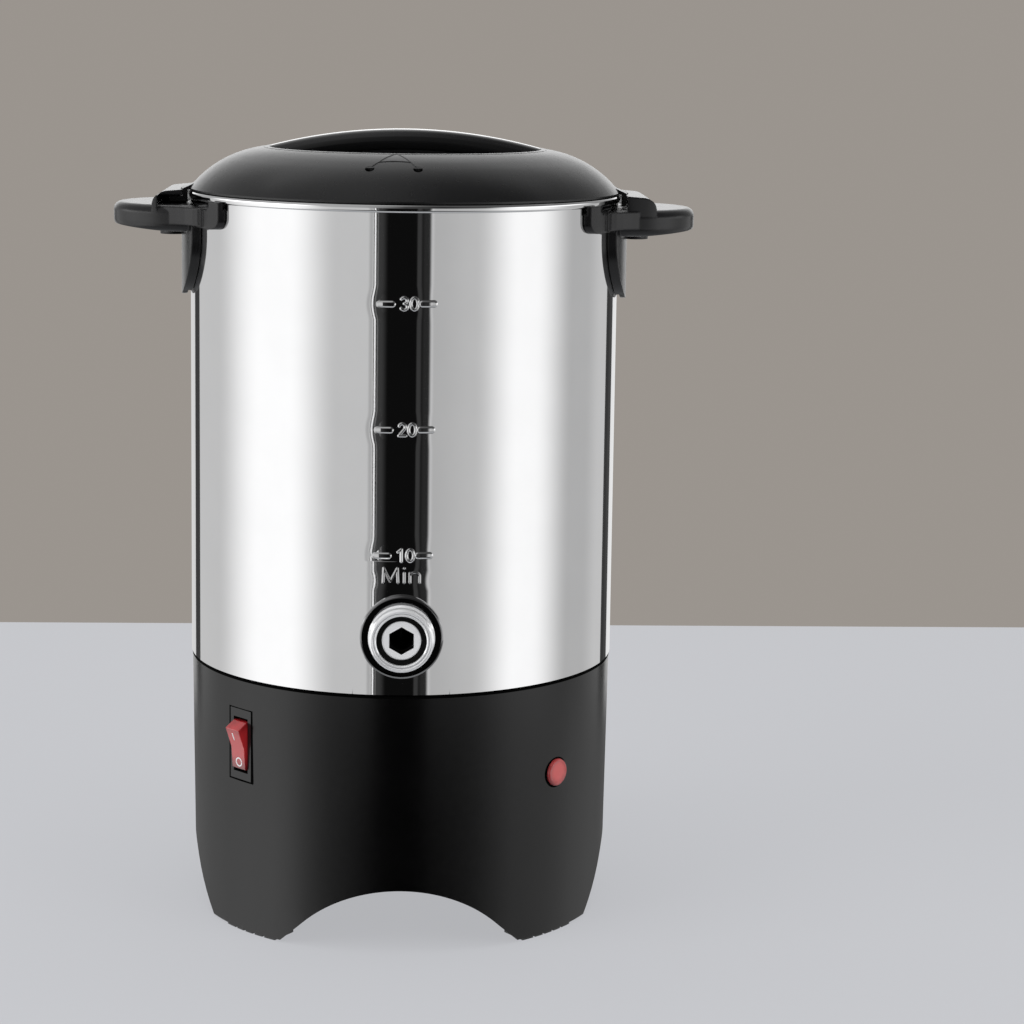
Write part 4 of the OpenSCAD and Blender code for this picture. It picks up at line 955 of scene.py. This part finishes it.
@dataclass
class Rocker:
    """The moulded rocker with its eased edges, the white signs printed on its two faces, and a
    painted shadow strip round the housing's face.
    """

    azimuth: float = -47.3
    height: float = 85.0
    pivot_r: float = 92.0133
    apex: float = 5.1
    slope: float = 8.0
    tilt: float = 12.0
    proud: float = 0.04
    width: float = 9.0
    face_l: float = 9.4
    end_l: float = 11.3
    pin_r: float = 1.2
    bezel: float = 3.2213
    pin_out: float = 1.1
    ease_r: float = 0.38 * MM
    ease_from: float = 18.0
    print_depth: float = 0.15

    def place(self, x: np.ndarray, y: np.ndarray, out: np.ndarray, tilted: bool = True
              ) -> np.ndarray:
        """Points of the rocker in the shared frame, in metres.

        Args:
            x: millimetres across the rocker.
            y: millimetres up from the trunnions, before the rocker is tilted.
            out: millimetres outwards from the trunnions, before the rocker is tilted.
            tilted: turns the points about the trunnions; the housing's own points aren't.

        Returns:
            The points after the tilt about the trunnions and the turn to the switch's azimuth.
        """
        t = math.radians(self.tilt) * tilted
        up, far = y * math.cos(t) - out * math.sin(t), y * math.sin(t) + out * math.cos(t)
        return out_from(self.azimuth, x, far + self.pivot_r, up + self.height)

    def face(self, x: np.ndarray, s: np.ndarray, lift: float) -> np.ndarray:
        """Points over the face, which climbs outwards by the slope on both sides of its middle.

        Args:
            x: millimetres across the rocker.
            s: millimetres along the face from its middle line, over 0 upwards.
            lift: millimetres off the face.

        Returns:
            The points in metres.
        """
        b = math.radians(self.slope)
        side = np.where(s >= 0, 1.0, -1.0)
        return self.place(x, s * math.cos(b) - side * math.sin(b) * lift,
                          self.apex + np.abs(s) * math.sin(b) + math.cos(b) * lift)

    def prism(self, y: np.ndarray, out: np.ndarray, half: float) -> np.ndarray:
        """A profile repeated at -half and at +half across the rocker."""
        x = np.array([[-half], [half]])
        return self.place(x + 0 * y, y + 0 * x, out + 0 * x).reshape(-1, 3)

    def body(self, dress: Wardrobe) -> None:
        """The wedge with slanted ends and the trunnions, with every edge eased by a bevel."""
        tip = self.apex + self.face_l * math.tan(math.radians(self.slope))
        half = np.array([(self.face_l, tip), (self.end_l, 1.3), (10.6, -1.6), (7.2, -4.3)])
        y = np.concatenate([[0.0], half[:, 0], -half[::-1, 0]])
        out = np.concatenate([[self.apex], half[:, 1], half[::-1, 1]])
        turn = np.linspace(0, 2 * math.pi, 25)[:-1]
        pins = self.prism(self.pin_r * np.cos(turn), -self.pin_r * np.sin(turn),
                          self.width / 2 + self.pin_out)
        points, faces = [self.prism(y, out, self.width / 2), pins], []
        first = 0
        for count in (len(y), len(turn)):
            ring = np.arange(count)
            after = (ring + 1) % count
            faces += (np.stack([ring, after, after + count, ring + count], -1) + first).tolist()
            faces += [(ring[::-1] + first).tolist(), (ring + count + first).tolist()]
            first += 2 * count
        made = mesh_object("rocker_body", np.concatenate(points), faces)
        ease = made.modifiers.new("eased_edges", "BEVEL")
        ease.width, ease.segments, ease.limit_method = self.ease_r, 3, "ANGLE"
        ease.angle_limit, ease.harden_normals = math.radians(self.ease_from), True
        dress.dress(made, ROCKER)
        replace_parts(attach(made, "rocker"), "switch_rocker")

    def sheet(self, name: str, x: np.ndarray, s: np.ndarray, dress: Wardrobe) -> None:
        """One printed sign as a thin closed shell that rides on the rocker."""
        made = closed_shell(name, self.face(x, s, self.proud), self.face(x, s, -self.print_depth))
        dress.dress(made, MARK_WHITE)
        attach(made, "rocker")

    def seal(self, dress: Wardrobe) -> None:
        """Painted shadow: a matt black strip along the four edges of the housing's face, where the
        gap round the bezel is in shade.
        """
        points, faces = [], []
        for x0, x1, y0, y1 in ((-7.7, -6.95, -16.25, 16.25), (6.95, 7.7, -16.25, 16.25),
                               (-6.95, 6.95, -16.25, -15.6), (-6.95, 6.95, 16.0, 16.25)):
            x = np.array([x0, x1, x1, x0] * 2)
            y = np.array([y0, y0, y1, y1] * 2)
            out = np.repeat([self.bezel - 0.2, self.bezel + 0.06], 4)
            faces += (np.array([(3, 2, 1, 0), (4, 5, 6, 7), (0, 1, 5, 4), (1, 2, 6, 5),
                                (2, 3, 7, 6), (3, 0, 4, 7)]) + 8 * len(points)).tolist()
            points.append(self.place(x, y, out, tilted=False))
        # painted shadow: matt black strips standing for the shade in the gap round the bezel
        made = mesh_object("switch_painted_shadow_strip", np.concatenate(points), faces, smooth=False)
        dress.dress(made, JOINT_AND_SHADOW_BLACK)
        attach(made, "root")

    def build(self, dress: Wardrobe) -> None:
        """The body, the painted shadow strip round the housing's face, the line on the upper face
        and the ring on the lower.
        """
        self.body(dress)
        self.seal(dress)
        x, s = np.meshgrid(np.linspace(-0.34, 0.34, 4) - 0.6, np.linspace(3.8, 7.4, 8))
        self.sheet("rocker_on_line", x, s, dress)
        for part, (start, stop) in enumerate(((2, 178), (182, 358))):
            a, r = np.meshgrid(np.radians(np.linspace(stop, start, 30)), np.linspace(1.5, 2.1, 4))
            self.sheet(f"rocker_off_ring_{part}", 0.4 + r * np.cos(a), -6.4 + r * np.sin(a), dress)


@dataclass
class LensCap:
    """The lamp's lens with its flat face and rounded shoulder, and a matt black ring round it,
    painted shadow in the gap about the lens.
    """

    azimuth: float = 46.0
    height: float = 73.6
    seat: float = 94.88
    cap: tuple[tuple[float, float], ...] = (
        (6.1, -0.8), (6.1, 0.7), (6.02, 1.15), (5.82, 1.5), (5.5, 1.74), (5.15, 1.8),
        (4.85, 1.7), (4.6, 1.6), (4.2, 1.58), (2.5, 1.68), (0.3, 1.74))
    # profile of the matt black ring that paints the shadow in the gap round the lens
    joint: tuple[tuple[float, float], ...] = (
        (6.08, -0.3), (6.95, -0.3), (6.95, 0.12), (6.75, 0.3), (6.3, 0.42), (6.08, 0.42))

    def lathe(self, name: str, profile: tuple[tuple[float, float], ...], ring: bool
              ) -> bpy.types.Object:
        """Turns a profile of (radius, distance out) in millimetres about the lens's axis.

        Args:
            name: the piece's name.
            profile: the corners, from the back to the front.
            ring: joins the last corner to the first; otherwise flat ends close the piece.

        Returns:
            The object.
        """
        r, out = np.array(profile).T
        turn = np.linspace(0, 2 * math.pi, 97)[:-1]
        across, up = np.outer(r, np.cos(turn)), np.outer(r, np.sin(turn))
        points = out_from(self.azimuth, across, self.seat + out[:, None], up + self.height)
        count = len(r) * len(turn)
        faces = (grid_faces(len(r) + ring, len(turn), around=True) % count).tolist()
        if not ring:
            faces += [list(range(len(turn)))[::-1], list(range(count - len(turn), count))]
        return mesh_object(name, points, faces)

    def build(self, dress: Wardrobe) -> None:
        """The lens and the painted shadow ring round it."""
        made = self.lathe("lens_cap", self.cap, ring=False)
        dress.dress(made, LENS)
        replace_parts(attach(made, "root"), "indicator_lens")
        # painted shadow: a matt black ring standing for the shade in the gap round the lens
        joint = self.lathe("lens_painted_shadow_ring", self.joint, ring=True)
        dress.dress(joint, JOINT_AND_SHADOW_BLACK)
        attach(joint, "root")


# ------------------------------------------------------------------ studio
@dataclass(frozen=True)
class Panel:
    """One soft panel of the studio's ring: azimuths where it starts, is full, and ends."""

    rise: float
    full: float
    fall: float
    end: float
    strength: float

    def over(self, azimuth: Val) -> Val:
        """The panel's plateau, from 0 to 1."""
        return azimuth.band(self.rise, self.full, self.fall, self.end)


@dataclass
class Studio:
    """A plain pale table, a plain back wall, soft lamps, and panels that only gloss can see."""

    ring_r: float = 2.0
    ring_low: float = -1.4
    ring_high: float = 2.4
    table: Colour = (0.571, 0.578, 0.604)
    wall: Colour = (0.325, 0.298, 0.272)
    table_end: float = 0.5435
    keep: float = 0.22
    aim: Triple = (0.0419812, 0.143, 0.0145815)
    film: Triple = (36.0, 91.765, -0.0996)
    eye: Triple = (0.0, -1.17934, 0.39485)
    lamps: tuple[tuple[str, Triple, float, float], ...] = (
        ("key_left", (-1.5, -0.9, 1.5), 1.3, 22.0), ("fill_right", (1.5, -1.1, 1.3), 1.3, 12.0),
        ("overhead", (0.0, 0.1, 2.3), 1.8, 34.0))
    panels: tuple[Panel, ...] = (
        Panel(-116, -80, -62, -34, 0.50), Panel(14.2, 40, 60, 100, 0.07),
        Panel(36, 62, 72, 100, 0.50), Panel(-181, -180, -142, -139, 0.10),
        Panel(143, 146, 180, 181, 0.22))
    gap: Panel = Panel(-15.9, -15.4, 12.4, 14.2, 0.0)
    shade: Panel = Panel(-18.6, -17.2, -16.4, -15.9, 0.14)
    edges: tuple[Panel, Panel] = (Panel(-151.0, -149.8, -141.0, -139.8, 0.93),
                                  Panel(138.0, 139.0, 150.5, 152.0, 0.93))
    hairs: tuple[Panel, ...] = (
        Panel(-15.4, -15.1, -14.6, -14.4, 0.92), Panel(-14.0, -13.7, -13.5, -13.1, 0.15),
        Panel(-13.6, -13.0, -12.0, -8.0, 0.035), Panel(6.0, 6.8, 8.0, 9.2, 0.035),
        Panel(8.0, 10.6, 12.4, 13.2, 0.017))
    low_course: tuple[tuple[float, float], ...] = (
        (-180, 0.08), (-150, 0.22), (-128, 0.4), (-110, 0.62), (-90, 0.95), (-72, 1.15),
        (-62, 1.0), (-51, 0.56), (-40, 0.28), (-28, 0.15), (-17, 0.03), (-9, 0.0), (9, 0.0),
        (20, 0.035), (30, 0.07), (41, 0.15), (52, 0.31), (63, 0.5), (108, 0.54), (126, 0.38),
        (145, 0.2), (180, 0.08))
    high_course: tuple[tuple[float, float], ...] = (
        (-180, 0.9), (-160, 0.7), (-140, 0.36), (-100, 0.36), (-60, 0.45), (-20, 0.32), (0, 0.06),
        (20, 0.03), (60, 0.1), (110, 0.2), (140, 0.3), (160, 0.7), (180, 0.9))

    def glow(self, thing: bpy.types.Object, book: Book, strength: Val) -> None:
        """Makes a panel glow grey and shows it to gloss and clear plastic alone.

        Args:
            thing: the panel.
            book: its material's nodes.
            strength: the light's strength over the panel.
        """
        shader = book.node("ShaderNodeEmission", {}, {"Color": WHITE, "Strength": strength})
        book.node("ShaderNodeOutputMaterial", {}, {"Surface": shader})
        thing.data.materials.append(book.owner)
        thing.visible_camera = thing.visible_diffuse = thing.visible_shadow = False
        thing.visible_volume_scatter = False

    def ring(self) -> None:
        """The ring of panels round the urn: a cylinder whose glow is a sum of smooth plateaus."""
        a = np.linspace(0, 360, 145)[:-1]
        z = np.array([self.ring_low, self.ring_high])
        at, zt = np.meshgrid(a, z)
        points = on_tank(at, zt, self.ring_r)
        made = mesh_object("studio_ring", points, grid_faces(2, 144, around=True)[:, ::-1])
        book = Book(bpy.data.materials.new("studio_panels"))
        x, y, z = book.axes(book.place())
        az = book.azimuth(x, y)
        light = 0.53 - az.ease(14.0, 15.5) * 0.10 + az.ease(112.0, 130.0) * 0.10
        for p in self.panels:
            light = light + p.over(az) * p.strength
        light = light - self.shade.over(az) * self.shade.strength
        light = light * (1 - self.gap.over(az)) + 0.004
        for p in self.hairs:
            light = light + p.over(az) * p.strength
        left, right = self.edges
        light = light * (1 - (left.over(az) + right.over(az)) * left.strength)
        # below the tank's reflections lies what the base mirrors, above them the lid and handles
        low = book.course(az, self.low_course)
        high = book.course(az, self.high_course) + az.math("ABSOLUTE").ease(138, 160) * (
            1 - z.ease(0.62, 0.95)) * 0.6
        side = (az.band(-125, -100, -62, -40) * 1.6 + az.band(40, 62, 95, 120) * 1.2) * (
            1 - z.ease(0.5, 0.8))
        down, up = 1 - z.ease(-0.46, -0.38), z.ease(0.24, 0.42)
        light = light * (1 - down) * (1 - up) + low * down + (high + side) * up
        self.glow(made, book, light * 1.10)

    def top(self) -> None:
        """The overhead panel: brighter on the left."""
        x, y = np.meshgrid(np.linspace(-2.1, 2.1, 2), np.linspace(-2.1, 2.1, 2))
        points = np.stack([x, y, np.full_like(x, self.ring_high)], -1)
        made = mesh_object("studio_top", points, grid_faces(2, 2)[:, ::-1])
        book = Book(bpy.data.materials.new("studio_overhead"))
        x, y, _ = book.axes(book.place())
        front = 1 - y.ease(0.1, 1.4)
        right = x.ease(-0.35, 0.45) * (0.22 + front * 0.08)
        self.glow(made, book, 0.78 - front * 0.38 - right)

    def table_top(self) -> None:
        """The pale table, which keeps a share of the urn's shadow; gloss looks past it."""
        x, y = np.meshgrid(np.linspace(-4, 4, 9), np.linspace(-4, self.table_end, 9))
        points = np.stack([x, y, np.zeros_like(x)], -1)
        made = mesh_object("studio_table", points, grid_faces(9, 9))
        book = Book(bpy.data.materials.new("table_pale"))
        plain = book.node("ShaderNodeEmission", {}, {"Color": self.table, "Strength": 1.0})
        dim = tuple(c * 0.8 for c in self.table)
        lit = book.node("ShaderNodeBsdfDiffuse", {}, {"Color": dim})
        both = book.node("ShaderNodeMixShader", {}, {0: self.keep, 1: plain, 2: lit})
        book.node("ShaderNodeOutputMaterial", {}, {"Surface": both})
        made.data.materials.append(book.owner)
        made.visible_glossy = False

    def world(self) -> None:
        """A plain wall colour behind for the camera, and an even grey light for the rest."""
        book = Book(bpy.data.worlds.new("studio_world"))
        bpy.context.scene.world = book.owner
        rays = book.node("ShaderNodeLightPath", out="Is Camera Ray")
        seen = book.node("ShaderNodeBackground", {}, {"Color": self.wall, "Strength": 1.0})
        soft = book.node("ShaderNodeBackground", {}, {"Color": (0.95, 0.97, 1.0),
                                                      "Strength": 0.42})
        both = book.node("ShaderNodeMixShader", {}, {0: rays, 1: soft, 2: seen})
        book.node("ShaderNodeOutputWorld", {}, {"Surface": both})

    def lamp(self, name: str, place: Triple, size: float, watts: float) -> None:
        """A square soft lamp aimed at the urn, which gloss doesn't see."""
        light = bpy.data.lights.new(name, "AREA")
        light.shape, light.size, light.energy = "SQUARE", size, watts
        made = bpy.data.objects.new(name, light)
        bpy.context.scene.collection.objects.link(made)
        back = np.array(place) - (0, 0, 0.18)
        back = back / np.linalg.norm(back)
        side = np.cross((0, 1, 0) if abs(back[1]) < 0.9 else (0, 0, 1), back)
        side = side / np.linalg.norm(side)
        turn = np.stack([side, np.cross(back, side), back], 1)
        made.matrix_world = Matrix.Translation(place) @ Matrix(turn.tolist()).to_4x4()
        made.visible_glossy = made.visible_transmission = False

    def camera(self) -> None:
        """A long lens from the front, a little above the rim and turned to the right."""
        yaw, pitch, roll = self.aim
        ahead = np.array([math.sin(yaw) * math.cos(pitch), math.cos(yaw) * math.cos(pitch),
                          -math.sin(pitch)])
        level = np.array([math.cos(yaw), -math.sin(yaw), 0.0])
        lift = np.cross(level, ahead)
        right = math.cos(roll) * level + math.sin(roll) * lift
        up = -math.sin(roll) * level + math.cos(roll) * lift
        data = bpy.data.cameras.new("camera")
        data.sensor_width, data.lens, data.shift_y = self.film
        made = bpy.data.objects.new("camera", data)
        bpy.context.scene.collection.objects.link(made)
        turn = np.stack([right, up, -ahead], 1)
        made.matrix_world = Matrix.Translation(self.eye) @ Matrix(turn.tolist()).to_4x4()
        bpy.context.scene.camera = made

    def build(self) -> None:
        """Sets up the camera, the table, the panels and the lamps."""
        bpy.context.scene.view_settings.view_transform = "Standard"
        self.camera()
        self.table_top()
        self.world()
        self.ring()
        self.top()
        for lamp in self.lamps:
            self.lamp(*lamp)
        LOG.info("studio ready")


def corners(box: tuple) -> list[list[float]]:
    """A box's two corners as plain lists."""
    return [[float(v) for v in corner] for corner in box]


def main() -> None:
    """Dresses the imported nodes, adds the pieces and sets the studio."""
    logging.basicConfig(level=logging.INFO, format="%(name)s: %(message)s")
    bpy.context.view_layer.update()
    dress = Wardrobe()
    dress.dress_nodes()
    TankSkin().build(dress)
    bead = TankBead()
    bead.build(dress)
    bead.band(dress)
    LidMark().build(dress)
    Rocker().build(dress)
    LensCap().build(dress)
    Studio().build()


if __name__ == "__main__":
    main()
